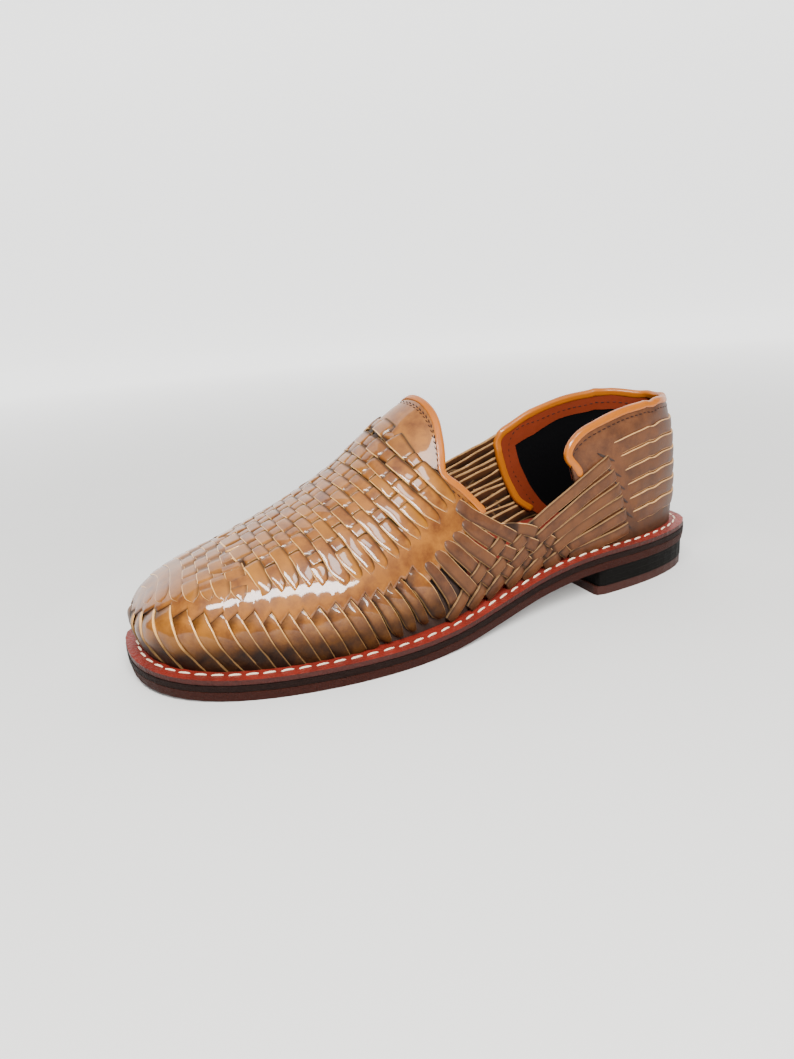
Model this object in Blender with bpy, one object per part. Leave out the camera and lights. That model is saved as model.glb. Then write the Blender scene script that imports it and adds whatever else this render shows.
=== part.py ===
"""Woven slip-on shoe for the left foot, standing empty on its sole.

The toe points along -Y, the outer (lateral) side of the foot is +X and +Z is up. The origin is on the
floor, half way between toe and heel and half way between the widest points of the sole. Every length
below is in millimetres, sideways from the middle of the heel, and is moved to the origin and turned
into metres only when a mesh is made.
"""
import math

import bpy
import numpy as np

# ---------------------------------------------------------------- driving dimensions, millimetres
SOLE_LENGTH = 300.0
BALL_WIDTH = 109.0
INSTEP_HEIGHT = 107.0      # floor to the tip of the tongue
TOP_LINE_HEIGHT = 90.0     # floor to the top line at the back of the heel
TOP_LINE_LATERAL = 91.5    # and where it turns round the heel on either side
TOP_LINE_MEDIAL = 94.0
OUTSOLE_THICK = 4.3
MIDSOLE_THICK = 2.6
WELT_THICK = 2.2
HEEL_LIFT = 13.8           # underside of the outsole above the floor at the heel
TOP_LIFT_THICK = 4.6
INSOLE_THICK = 3.0
WALL = 1.8                 # leather wall of the upper
GAP = 0.3                  # play between pieces that are glued face to face
FOOT_GAP = 0.4             # and under the foot of the upper
BINDING_GAP = 0.6          # and round the edge inside a binding
HEEL_BREAST_Y = 74.0
BREAST_CORNER = 3.0        # round where the breast of the heel meets its sides
WELT_LAP = 6.0             # how far the welt runs in under the upper
WELT_IN = 0.3              # how far each layer's edge stands in from the widest one, the midsole's
OUTSOLE_BEVEL = 0.8
BLOCK_IN = 1.3
LIFT_IN = 1.6
BINDING_WALL = 0.8
BINDING_DEPTH = 3.4
BINDING_CROWN = 1.9

STACK = OUTSOLE_THICK + MIDSOLE_THICK + WELT_THICK + 2 * GAP
TOE_Y = -SOLE_LENGTH / 2
HEEL_Y = SOLE_LENGTH / 2
TOE_TIP_X = -7.0           # the toe's tip, from the middle of the heel
MIDDLE_X = 4.5             # half way between the widest points of the sole, from the middle of the heel

# Plan of the sole edge: share of the length from the toe, then lateral and medial reach from the
# centre line as shares of the ball width.
OUTLINE = np.array([
    # along, lateral, medial
    (0.008, 0.115, 0.222),
    (0.040, 0.280, 0.312),
    (0.100, 0.408, 0.392),
    (0.183, 0.494, 0.441),
    (0.293, 0.540, 0.459),
    (0.400, 0.526, 0.430),
    (0.517, 0.448, 0.372),
    (0.633, 0.367, 0.330),
    (0.750, 0.334, 0.317),
    (0.850, 0.305, 0.304),
    (0.923, 0.250, 0.250),
    (0.970, 0.178, 0.178),
    (0.994, 0.096, 0.096),
])

# Underside of the outsole: share of the length from the toe, height above the floor.
UNDERSIDE = np.array([
    # along, height
    (0.000, 3.0),
    (0.040, 1.8),
    (0.093, 0.7),
    (0.140, 0.2),
    (0.183, 0.0),
    (0.367, 0.0),
    (0.450, 0.8),
    (0.550, 4.8),
    (0.650, 10.2),
    (0.733, 13.2),
    (0.783, HEEL_LIFT),
    (1.000, HEEL_LIFT),
])

# Sections of the last. At each station: how far the upper's foot stands in from the sole edge on
# either side, the crown's height as a share of the instep, the roundness of the section across
# and up, how far the wall swells out over its foot, and the sideways place of the crown.
SECTIONS = np.array([
    # along, in lat, in med, crown, across, up, swell, crown x
    (0.000, 8.5, 8.5, 0.336, 2.9, 2.4, 9.5, -6.0),
    (0.067, 9.0, 8.8, 0.407, 2.8, 2.3, 8.0, -6.0),
    (0.150, 9.3, 8.5, 0.467, 2.5, 2.2, 4.5, -6.0),
    (0.250, 9.5, 8.0, 0.570, 2.4, 2.0, 3.5, -7.0),
    (0.350, 9.5, 7.5, 0.712, 2.2, 1.8, 3.0, -8.5),
    (0.430, 9.4, 7.0, 0.883, 2.0, 1.75, 2.5, -8.5),
    (0.490, 8.8, 6.5, 0.985, 2.0, 1.75, 1.5, -7.0),
    (0.570, 8.2, 6.5, 1.075, 2.2, 1.75, 1.0, -4.0),
    (0.650, 7.5, 6.5, 1.120, 2.4, 1.8, 1.0, -1.0),
    (0.750, 7.0, 6.5, 1.150, 2.9, 2.0, 1.5, 0.0),
    (0.867, 7.3, 7.3, 1.100, 3.1, 2.0, 2.5, 0.0),
    (1.000, 8.0, 8.0, 1.010, 3.0, 2.0, 3.0, 0.0),
])
IN_LATERAL, IN_MEDIAL, CROWN, ACROSS, UP, SWELL, CROWN_X = range(1, 8)
SPINE_TOE_Y = -96.0        # the crown line of the last runs between these two stations
SPINE_HEEL_Y = 112.0
CAP_OVERLAP = 6.0          # how far the fans of ribs at toe and heel read the foot past their centre
SIDE_BLEND = 12.0          # width over which the lateral side's inset passes into the medial side's

# The mouth of the upper, from the tongue's tip back to the heel, seen from the side. "share" says
# how far round the mouth the point is, and "foot" how far round the foot of the upper the wall below
# it starts, both from the toe to the heel.
MOUTH_LATERAL = np.array([
    # share, foot, y, z
    (0.000, 0.000, -3.0, INSTEP_HEIGHT),
    (0.070, 0.130, -0.5, 100.0),
    (0.130, 0.220, -1.5, 91.0),
    (0.190, 0.300, -4.0, 80.5),
    (0.235, 0.360, -4.5, 74.5),
    (0.270, 0.410, 0.0, 70.0),
    (0.330, 0.490, 11.5, 56.5),
    (0.400, 0.580, 26.0, 45.0),
    (0.455, 0.640, 39.0, 45.0),
    (0.510, 0.690, 51.0, 54.0),
    (0.575, 0.735, 67.5, 63.0),
    (0.620, 0.748, 62.3, 72.0),
    (0.660, 0.765, 65.5, 79.5),
    (0.710, 0.795, 77.0, 85.5),
    (0.770, 0.840, 96.0, 90.0),
])
MOUTH_MEDIAL = np.array([
    # share, foot, y, z
    (0.070, 0.130, -4.5, 99.5),
    (0.130, 0.210, -5.5, 89.0),
    (0.190, 0.280, -5.0, 79.0),
    (0.235, 0.340, -3.0, 73.5),
    (0.280, 0.400, 5.0, 69.0),
    (0.330, 0.460, 16.0, 66.0),
    (0.400, 0.535, 32.0, 70.0),
    (0.470, 0.610, 47.0, 75.8),
    (0.535, 0.665, 59.0, 80.5),
    (0.600, 0.715, 69.0, 85.3),
    (0.680, 0.765, 82.0, 89.3),
    (0.760, 0.830, 99.0, 92.5),
])
# The same round the back of the heel, by angle off straight back.
MOUTH_HEEL = np.array([
    # share, foot, degrees
    (0.820, 0.873, 90.0),
    (0.865, 0.905, 65.0),
    (0.910, 0.935, 43.0),
    (0.955, 0.967, 21.0),
    (1.000, 1.000, 0.0),
])
TONGUE_BOUND = 18          # columns from the tongue's tip that its binding reaches on either side
COUNTER_BOUND_LATERAL = 33 # columns from the tongue's tip at which the counter's binding starts
COUNTER_BOUND_MEDIAL = 30

# ---------------------------------------------------------------- resolution
RING_POINTS = 720
SOLE_POINTS = 96
COLUMNS = 108
ROWS = 16
ROW_CROWDING = 1.25        # above 1 the rows crowd towards the foot of the wall
SHARP_ANGLE = 35.0         # degrees between faces above which an edge is shaded sharp

# Gaps between straps that go right through the wall, seen from the side: the middle of the gap,
# its length along the straps, its width, and how steeply it falls towards the heel.
WEAVE_GAPS = np.array([
    # side, y, z, length, width, fall in degrees
    (1, -19.0, 25.0, 15.0, 2.4, 60.0),
    (1, -11.5, 27.0, 14.0, 3.0, 64.0),
    (1, -3.5, 31.0, 10.0, 2.2, 62.0),
    (1, 12.0, 42.0, 9.0, 2.2, 50.0),
    (-1, -17.0, 27.0, 14.0, 2.4, 62.0),
    (-1, -8.0, 30.0, 12.0, 2.4, 62.0),
])
SLOT_SHOULDER = 0.55       # share of a gap's half length that keeps its full width
GAP_CUT_X = (15.0, 80.0)   # reach of the gap cutters from the middle of the heel

COLOURS = {
    # name: colour, roughness
    "outsole": ((0.10, 0.04, 0.03), 0.65),
    "midsole": ((0.04, 0.02, 0.02), 0.6),
    "welt": ((0.42, 0.05, 0.02), 0.5),
    "heel_block": ((0.02, 0.02, 0.02), 0.6),
    "top_lift": ((0.10, 0.04, 0.03), 0.7),
    "insole": ((0.42, 0.05, 0.02), 0.5),
    "upper": ((0.40, 0.22, 0.10), 0.35),
    "tongue_binding": ((0.60, 0.25, 0.04), 0.3),
    "counter_binding": ((0.60, 0.25, 0.04), 0.3),
}


# ---------------------------------------------------------------- curves
def monotone(x, xs, ys):
    """Cubic through a table of rising xs that never overshoots the values on either side."""
    xs = np.asarray(xs, float)
    ys = np.asarray(ys, float)
    step = np.diff(xs)
    slope = np.diff(ys) / step
    tangent = np.zeros(len(xs))
    before, after = slope[:-1], slope[1:]
    same_way = before * after > 0
    safe_before = np.where(same_way, before, 1.0)
    safe_after = np.where(same_way, after, 1.0)
    weight_a = 2 * step[1:] + step[:-1]
    weight_b = step[1:] + 2 * step[:-1]
    mean = (weight_a + weight_b) / (weight_a / safe_before + weight_b / safe_after)
    tangent[1:-1] = np.where(same_way, mean, 0.0)
    tangent[0], tangent[-1] = slope[0], slope[-1]
    x = np.clip(x, xs[0], xs[-1])
    k = np.clip(np.searchsorted(xs, x, side="right") - 1, 0, len(step) - 1)
    t = (x - xs[k]) / step[k]
    return (ys[k] * (1 + 2 * t) * (1 - t) ** 2 + step[k] * tangent[k] * t * (1 - t) ** 2
            + ys[k + 1] * t * t * (3 - 2 * t) + step[k] * tangent[k + 1] * t * t * (t - 1))


def closed_spline(knots, points, period, at):
    """Periodic cubic spline: the closed curve through the points with an even bend everywhere."""
    knots = np.asarray(knots, float)
    points = np.asarray(points, float)
    count = len(knots)
    step = np.diff(np.r_[knots, knots[0] + period])
    matrix = np.zeros((count, count))
    rise = np.roll(points, -1, 0) - points
    for i in range(count):
        matrix[i, i - 1] += step[i - 1]
        matrix[i, i] += 2 * (step[i - 1] + step[i])
        matrix[i, (i + 1) % count] += step[i]
    bend = np.linalg.solve(matrix, 6 * (rise / step[:, None] - np.roll(rise / step[:, None], 1, 0)))
    u = (np.asarray(at, float) - knots[0]) % period + knots[0]
    k = np.clip(np.searchsorted(knots, u, side="right") - 1, 0, count - 1)
    j = (k + 1) % count
    b = ((u - knots[k]) / step[k])[:, None]
    a = 1 - b
    return (a * points[k] + b * points[j]
            + ((a ** 3 - a) * bend[k] + (b ** 3 - b) * bend[j]) * (step[k] ** 2)[:, None] / 6)


def chord_knots(points):
    """Running length along a closed polygon and its whole length."""
    reach = np.linalg.norm(np.roll(points, -1, 0) - points, axis=1)
    return np.r_[0, np.cumsum(reach)[:-1]], reach.sum()


def inset(ring, depth):
    """A closed plan curve moved inwards by a depth that may change from point to point."""
    along = np.roll(ring, -1, 0) - np.roll(ring, 1, 0)
    along /= np.linalg.norm(along, axis=1)[:, None]
    inward = np.c_[-along[:, 1], along[:, 0]]
    if np.sum(inward * (ring.mean(0) - ring)) < 0:
        inward = -inward
    return ring + inward * (depth * np.ones(len(ring)))[:, None]


def station(y):
    return (np.asarray(y, float) - TOE_Y) / SOLE_LENGTH


# ---------------------------------------------------------------- sole shape
def sole_ring(count):
    """Edge of the sole in plan, from the heel along the lateral side, round the toe and back."""
    y = TOE_Y + OUTLINE[:, 0] * SOLE_LENGTH
    lateral = np.c_[OUTLINE[:, 1] * BALL_WIDTH, y]
    medial = np.c_[-OUTLINE[:, 2] * BALL_WIDTH, y]
    points = np.vstack([[(0.0, HEEL_Y)], lateral[::-1], [(TOE_TIP_X, TOE_Y)], medial])
    knots, period = chord_knots(points)
    return closed_spline(knots, points, period, np.linspace(0, period, count, endpoint=False))


def underside(y):
    return monotone(station(y), UNDERSIDE[:, 0], UNDERSIDE[:, 1])


def welt_top(y):
    return underside(y) + STACK


def section(column, y):
    """One column of the sections' table at a place along the shoe."""
    return monotone(station(y), SECTIONS[:, 0], SECTIONS[:, column])


def foot_ring(count):
    """Where the outside of the upper meets the welt, in plan."""
    ring = sole_ring(count)
    lateral_share = np.clip((ring[:, 0] - TOE_TIP_X / 2) / SIDE_BLEND + 0.5, 0, 1)
    in_lateral, in_medial = section(IN_LATERAL, ring[:, 1]), section(IN_MEDIAL, ring[:, 1])
    depth = lateral_share * in_lateral + (1 - lateral_share) * in_medial
    return inset(ring, depth)


# ---------------------------------------------------------------- surface of the last
FOOT = foot_ring(RING_POINTS)


def crown_x(y):
    return section(CROWN_X, np.clip(y, SPINE_TOE_Y, SPINE_HEEL_Y))


def side_tables():
    """The foot ring cut at toe and heel into two curves x(y) with y rising."""
    ring = np.roll(FOOT, -int(np.argmax(FOOT[:, 1])), 0)
    toe = int(np.argmin(ring[:, 1]))
    lateral = ring[:toe + 1][::-1]
    medial = np.vstack([ring[toe:], ring[:1]])
    return lateral, medial


def cap_table(y_centre, direction):
    """The foot ring beyond one end of the crown line, as radius against angle."""
    centre = np.array([float(crown_x(y_centre)), y_centre])
    from_centre = FOOT - centre
    near = from_centre[:, 1] * direction >= -CAP_OVERLAP
    angle = np.arctan2(from_centre[near, 0], from_centre[near, 1] * direction)
    radius = np.hypot(from_centre[near, 0], from_centre[near, 1])
    order = np.argsort(angle)
    return centre, angle[order], radius[order]


LATERAL_FOOT, MEDIAL_FOOT = side_tables()
TOE_CAP = cap_table(SPINE_TOE_Y, -1)
HEEL_CAP = cap_table(SPINE_HEEL_Y, 1)


def rib(x, y):
    """The rib of the last over a plan point: its crown point, its foot, and the share out from
    crown to foot. Ribs run square to the crown line and fan out round its two ends."""
    x, y = np.broadcast_arrays(np.asarray(x, float), np.asarray(y, float))
    y_crown = np.clip(y, SPINE_TOE_Y, SPINE_HEEL_Y)
    crown = np.stack([crown_x(y_crown), y_crown], -1)
    dx = x - crown[..., 0]
    dy = y - crown[..., 1]
    foot_x = np.where(dx >= 0, np.interp(y_crown, LATERAL_FOOT[:, 1], LATERAL_FOOT[:, 0]),
                      np.interp(y_crown, MEDIAL_FOOT[:, 1], MEDIAL_FOOT[:, 0]))
    foot = np.stack([foot_x, y_crown], -1)
    for (centre, angles, radii), direction, beyond in (
            (TOE_CAP, -1, y < SPINE_TOE_Y), (HEEL_CAP, 1, y > SPINE_HEEL_Y)):
        angle = np.arctan2(dx, dy * direction)
        radius = np.interp(angle, angles, radii)
        tip = np.stack([centre[0] + radius * np.sin(angle),
                        centre[1] + direction * radius * np.cos(angle)], -1)
        foot = np.where(beyond[..., None], tip, foot)
    reach = np.hypot(foot[..., 0] - crown[..., 0], foot[..., 1] - crown[..., 1])
    share = np.hypot(dx, dy) / np.maximum(reach, 1e-6)
    return crown, foot, share


def rise_angle(share, across):
    """Angle up the section, 0 at the foot and a quarter turn at the crown."""
    return (1 - np.clip(share, 0, 1) ** (across / 2)) * math.pi / 2


def last_point(x, y):
    """Point of the last over a plan point: a section rounded like a superellipse, swelling a
    little over its foot, under a crown whose height follows the point's own station."""
    crown, foot, share = rib(x, y)
    foot_y = foot[..., 1]
    across, up, swell = section(ACROSS, foot_y), section(UP, foot_y), section(SWELL, foot_y)
    angle = rise_angle(share, across)
    reach = np.maximum(np.hypot(foot[..., 0] - crown[..., 0], foot[..., 1] - crown[..., 1]), 1e-6)
    out = np.cos(angle) ** (2 / across) + swell / reach * np.sin(2 * angle)
    plan = crown + (foot - crown) * out[..., None]
    base = welt_top(foot_y)
    crown_z = section(CROWN, plan[..., 1]) * INSTEP_HEIGHT
    z = base + (crown_z - base) * np.sin(angle) ** (2 / up)
    return np.stack([plan[..., 0], plan[..., 1], z], -1)


def last_normal(x, y):
    """Outward normal of the last, from small steps across the plan."""
    step = 0.4             # millimetres in plan
    du = last_point(x + step, y) - last_point(x - step, y)
    dv = last_point(x, y + step) - last_point(x, y - step)
    normal = np.cross(du, dv)
    return normal / np.linalg.norm(normal, axis=-1, keepdims=True)


# ---------------------------------------------------------------- mouth and foot of the upper
def share_at_height(y, z, foot_y):
    """Share out from the crown at which the wall has a given height."""
    base = welt_top(foot_y)
    crown_z = section(CROWN, y) * INSTEP_HEIGHT
    up, across = section(UP, foot_y), section(ACROSS, foot_y)
    angle = np.arcsin(np.clip((z - base) / (crown_z - base), 0, 1) ** (up / 2))
    return (1 - angle / (math.pi / 2)) ** (2 / across)


def mouth_plan(rows, side):
    """Plan points of one side of the mouth, from its side view."""
    y, z = rows[:, 2], rows[:, 3]
    table = LATERAL_FOOT if side > 0 else MEDIAL_FOOT
    foot_x = np.interp(y, table[:, 1], table[:, 0])
    return np.c_[crown_x(y) + (foot_x - crown_x(y)) * share_at_height(y, z, y), y]


def heel_mouth_plan(degrees):
    """Plan points of the top line round the heel, lateral side for positive angles."""
    centre, angles, radii = HEEL_CAP
    turn = np.radians(degrees)
    radius = np.interp(turn, angles, radii)
    foot = np.c_[centre[0] + radius * np.sin(turn), centre[1] + radius * np.cos(turn)]
    side_z = np.where(turn > 0, TOP_LINE_LATERAL, TOP_LINE_MEDIAL)
    z = TOP_LINE_HEIGHT + (side_z - TOP_LINE_HEIGHT) * np.sin(turn) ** 2
    share = share_at_height(foot[:, 1], z, foot[:, 1])
    return centre + (foot - centre) * share[:, None]


def mouth(at):
    """Plan point of the mouth at a signed share: 0 at the tongue's tip, +1 and -1 at the heel,
    positive along the lateral side."""
    lateral = mouth_plan(MOUTH_LATERAL, 1)
    medial = mouth_plan(MOUTH_MEDIAL, -1)
    heel = np.r_[MOUTH_HEEL[:, 2], -MOUTH_HEEL[-2::-1, 2]]
    heel_knots = np.r_[MOUTH_HEEL[:, 0], 2 - MOUTH_HEEL[-2::-1, 0]]
    knots = np.r_[MOUTH_LATERAL[:, 0], heel_knots, 2 - MOUTH_MEDIAL[::-1, 0]]
    points = np.vstack([lateral, heel_mouth_plan(heel), medial[::-1]])
    return closed_spline(knots, points, 2.0, np.asarray(at, float) % 2.0)


def foot_at(at):
    """Plan point of the upper's foot below the mouth's signed share."""
    at = (np.asarray(at, float) + 1) % 2 - 1
    points = np.empty((len(at), 2))
    for rows, table, mask in ((MOUTH_LATERAL, LATERAL_FOOT, at >= 0),
                              (np.vstack([MOUTH_LATERAL[:1], MOUTH_MEDIAL]), MEDIAL_FOOT, at < 0)):
        shares = np.r_[rows[:, 0], MOUTH_HEEL[:, 0]]
        feet = np.r_[rows[:, 1], MOUTH_HEEL[:, 1]]
        along = np.r_[0, np.cumsum(np.linalg.norm(np.diff(table, axis=0), axis=1))]
        run = monotone(abs(at[mask]), shares, feet) * along[-1]
        points[mask] = np.c_[np.interp(run, along, table[:, 0]), np.interp(run, along, table[:, 1])]
    return points


# ---------------------------------------------------------------- meshes
def add_object(name, vertices, faces):
    """One closed body from points in millimetres, with its own material."""
    mesh = bpy.data.meshes.new(name)
    placed = (np.asarray(vertices, float) - (MIDDLE_X, 0, 0)) * 0.001
    mesh.from_pydata(placed.tolist(), [], [tuple(map(int, f)) for f in faces])
    mesh.update()
    mesh.shade_smooth()
    mesh.set_sharp_from_angle(angle=math.radians(SHARP_ANGLE))
    colour, roughness = COLOURS[name]
    material = bpy.data.materials.new(name)
    material.use_nodes = True
    shader = material.node_tree.nodes["Principled BSDF"]
    shader.inputs["Base Color"].default_value = (*colour, 1.0)
    shader.inputs["Roughness"].default_value = roughness
    mesh.materials.append(material)
    thing = bpy.data.objects.new(name, mesh)
    bpy.context.collection.objects.link(thing)
    return thing


def ladder(ring):
    """Order that pairs the points of a closed plan curve across the shoe, from heel to toe."""
    count = len(ring)
    faces = []
    for i in range(count // 2):
        a, b = i, (i + 1) % count
        c, d = (count - i - 1) % count, (count - i) % count
        quad = [a, b, c, d]
        faces.append([p for n, p in enumerate(quad) if p != quad[n - 1]])
    return faces


def plate(name, low_ring, low_z, high_ring, high_z):
    """A solid plate between two closed plan curves with as many points each."""
    count = len(low_ring)
    vertices = np.vstack([np.c_[low_ring, low_z], np.c_[high_ring, high_z]])
    faces = [f[::-1] for f in ladder(high_ring)]
    faces = [[p + count for p in f] for f in faces]
    faces += ladder(low_ring)
    for i in range(count):
        j = (i + 1) % count
        faces.append([j, i, i + count, j + count])
    return add_object(name, vertices, faces)


def ring_plate(name, outer, inner, low_z, high_z):
    """A flat ring between two closed plan curves, following a height that changes along the shoe."""
    count = len(outer)
    vertices = np.vstack([np.c_[outer, low_z(outer[:, 1])], np.c_[inner, low_z(inner[:, 1])],
                          np.c_[outer, high_z(outer[:, 1])], np.c_[inner, high_z(inner[:, 1])]])
    faces = []
    for i in range(count):
        j = (i + 1) % count
        low_out, low_in = (i, j), (i + count, j + count)
        high_out, high_in = (i + 2 * count, j + 2 * count), (i + 3 * count, j + 3 * count)
        faces.append([low_out[0], low_out[1], low_in[1], low_in[0]])
        faces.append([high_out[1], high_out[0], high_in[0], high_in[1]])
        faces.append([low_out[1], low_out[0], high_out[0], high_out[1]])
        faces.append([low_in[0], low_in[1], high_in[1], high_in[0]])
    return add_object(name, vertices, faces)


def heel_plate(name, low_z, high_z, edge_in, breast_y):
    """One layer of the heel: the back of the sole's plan behind a straight breast."""
    fine = 3               # the ring is read this much finer, so that it ends close to the breast
    ring = inset(sole_ring(SOLE_POINTS * fine), edge_in)
    ring = np.roll(ring, -int(np.argmax(ring[:, 1])), 0)
    behind = ring[:, 1] > breast_y + BREAST_CORNER
    turn = int(np.argmin(behind))
    lateral = ring[:turn][::fine]
    medial = ring[turn:][behind[turn:]][::-1][fine - 1::fine][::-1]
    in_little, in_full = BREAST_CORNER * 0.3, BREAST_CORNER
    front = np.array([(lateral[-1][0] - in_little, breast_y + in_little),
                      (lateral[-1][0] - in_full, breast_y),
                      (0.0, breast_y),
                      (medial[0][0] + in_full, breast_y),
                      (medial[0][0] + in_little, breast_y + in_little)])
    outline = np.vstack([lateral, front, medial])
    count = len(outline)
    hub = np.array([(0.0, SPINE_HEEL_Y)])
    points = np.vstack([outline, hub])
    low = np.c_[points, low_z(points[:, 1])]
    high = np.c_[points, high_z(points[:, 1])]
    vertices = np.vstack([low[:-1], high[:-1], low[-1:], high[-1:]])
    faces = []
    for i in range(count):
        j = (i + 1) % count
        faces.append([i, j, 2 * count])
        faces.append([j + count, i + count, 2 * count + 1])
        faces.append([j, i, i + count, j + count])
    return add_object(name, vertices, faces)


def build_sole():
    """Outsole, midsole, welt, heel and insole, from the floor up."""
    edge = sole_ring(SOLE_POINTS)
    low = underside(edge[:, 1])
    foot_edge = inset(edge, OUTSOLE_BEVEL)
    plate("outsole", foot_edge, underside(foot_edge[:, 1]), edge, low + OUTSOLE_THICK)
    mid_low = OUTSOLE_THICK + GAP
    plate("midsole", edge, low + mid_low, edge, low + mid_low + MIDSOLE_THICK)
    foot = foot_ring(SOLE_POINTS)
    welt_low = mid_low + MIDSOLE_THICK + GAP
    ring_plate("welt", inset(edge, WELT_IN), inset(foot, WELT_LAP),
               lambda y: underside(y) + welt_low, lambda y: underside(y) + STACK)
    board = inset(foot, WALL + 2 * GAP)
    board_low = welt_top(board[:, 1]) + GAP
    plate("insole", board, board_low, board, board_low + INSOLE_THICK)
    heel_plate("top_lift", lambda y: 0 * y, lambda y: 0 * y + TOP_LIFT_THICK, LIFT_IN, HEEL_BREAST_Y)
    heel_plate("heel_block", lambda y: 0 * y + TOP_LIFT_THICK + GAP, lambda y: underside(y) - GAP,
               BLOCK_IN, HEEL_BREAST_Y + 1.0)


def upper_grid():
    """Plan points of the upper: one column for each share of the mouth, from foot to mouth."""
    at = np.linspace(0, 2, COLUMNS, endpoint=False)
    foot, rim = foot_at(at), mouth(at)
    up = np.linspace(0, 1, ROWS + 1) ** ROW_CROWDING
    plan = foot[:, None] + (rim - foot)[:, None] * up[None, :, None]
    return plan[..., 0], plan[..., 1]


def build_upper():
    """The upper as one hollow solid: an outer and an inner skin, joined along the foot and
    round the mouth."""
    x, y = upper_grid()
    outer = last_point(x, y)
    inner = outer - last_normal(x, y) * WALL
    outer[:, 0, 2] = welt_top(outer[:, 0, 1]) + FOOT_GAP
    inner[:, 0, 2] = outer[:, 0, 2]
    count = COLUMNS * (ROWS + 1)
    vertices = np.vstack([outer.reshape(-1, 3), inner.reshape(-1, 3)])

    def index(column, row, skin=0):
        return (column % COLUMNS) * (ROWS + 1) + row + skin * count

    faces = []
    for c in range(COLUMNS):
        for r in range(ROWS):
            corners = [(c, r), (c + 1, r), (c + 1, r + 1), (c, r + 1)]
            faces.append([index(*k) for k in corners[::-1]])
            faces.append([index(*k, 1) for k in corners])
        faces.append([index(c, 0), index(c + 1, 0), index(c + 1, 0, 1), index(c, 0, 1)])
        faces.append([index(c + 1, ROWS), index(c, ROWS), index(c, ROWS, 1), index(c + 1, ROWS, 1)])
    return add_object("upper", vertices, faces)


def cut_weave_gaps(upper):
    """Cut every gap between the straps with one cutter of pointed slots."""
    vertices = []
    faces = []
    for side, y, z, length, width, fall in WEAVE_GAPS:
        turn = math.radians(fall)
        along = np.array([math.cos(turn), -math.sin(turn)]) * length / 2
        across = np.array([math.sin(turn), math.cos(turn)]) * width / 2
        shoulder = along * SLOT_SHOULDER
        slot = [along, shoulder + across, across - shoulder, -along, -across - shoulder, shoulder - across]
        slot = np.array(slot) + (y, z)
        start = len(vertices)
        for x in GAP_CUT_X:
            vertices += [(side * x, p[0], p[1]) for p in slot]
        rings = [[start + k for k in range(6)], [start + 6 + k for k in range(6)]]
        body = [rings[0], rings[1][::-1]]
        for k in range(6):
            m = (k + 1) % 6
            body.append([rings[0][k], rings[1][k], rings[1][m], rings[0][m]])
        faces += body if side < 0 else [f[::-1] for f in body]
    mesh = bpy.data.meshes.new("weave_gap_cutter")
    mesh.from_pydata(((np.array(vertices) - (MIDDLE_X, 0, 0)) * 0.001).tolist(), [], faces)
    cutter = bpy.data.objects.new("weave_gap_cutter", mesh)
    bpy.context.collection.objects.link(cutter)
    cutter.hide_render = True
    cutter.display_type = "WIRE"
    cut = upper.modifiers.new("weave gaps", "BOOLEAN")
    cut.operation = "DIFFERENCE"
    cut.solver = "EXACT"
    cut.object = cutter


def build_binding(name, first, last):
    """A folded strip over the edge of the mouth: a U section carried along it from one column
    of the upper to another."""
    steps = last - first
    at = np.arange(first, last + 1) * 2 / COLUMNS
    rim = mouth(at)
    edge = last_point(rim[:, 0], rim[:, 1])
    normal = last_normal(rim[:, 0], rim[:, 1])
    along = np.gradient(edge, axis=0)
    along /= np.linalg.norm(along, axis=1)[:, None]
    away = np.cross(normal, along)
    away /= np.linalg.norm(away, axis=1)[:, None]
    half_in = WALL / 2 + BINDING_GAP
    half_out = half_in + BINDING_WALL
    arc = np.radians([0, 36, 72, 108, 144, 180])
    outside = [(half_out * math.cos(a), BINDING_GAP + BINDING_CROWN * math.sin(a)) for a in arc]
    profile = [(half_out, -BINDING_DEPTH)] + outside + [(-half_out, -BINDING_DEPTH)]
    profile += [(-half_in, -BINDING_DEPTH), (-half_in, BINDING_GAP),
                (half_in, BINDING_GAP), (half_in, -BINDING_DEPTH)]
    profile = np.array(profile)
    centre = edge - normal * WALL / 2
    points = (centre[:, None] + normal[:, None] * profile[None, :, :1]
              + away[:, None] * profile[None, :, 1:])
    width = len(profile)
    faces = []
    for s in range(steps):
        for k in range(width):
            m = (k + 1) % width
            faces.append([s * width + m, s * width + k, (s + 1) * width + k, (s + 1) * width + m])
    end_parts = ([0, 1, 10, 11], [1, 2, 10], [2, 3, 10], [3, 4, 9, 10], [4, 5, 9], [5, 6, 9], [6, 7, 8, 9])
    for s, flip in ((0, False), (steps, True)):
        for part in end_parts:
            face = [s * width + k for k in part]
            faces.append(face[::-1] if flip else face)
    return add_object(name, points.reshape(-1, 3), faces)


def main():
    for thing in list(bpy.data.objects):
        bpy.data.objects.remove(thing, do_unlink=True)
    build_sole()
    cut_weave_gaps(build_upper())
    build_binding("tongue_binding", -TONGUE_BOUND, TONGUE_BOUND)
    build_binding("counter_binding", COUNTER_BOUND_LATERAL, COLUMNS - COUNTER_BOUND_MEDIAL)


main()
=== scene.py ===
import math
import bpy
import numpy as np
from mathutils import Matrix, Vector


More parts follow.
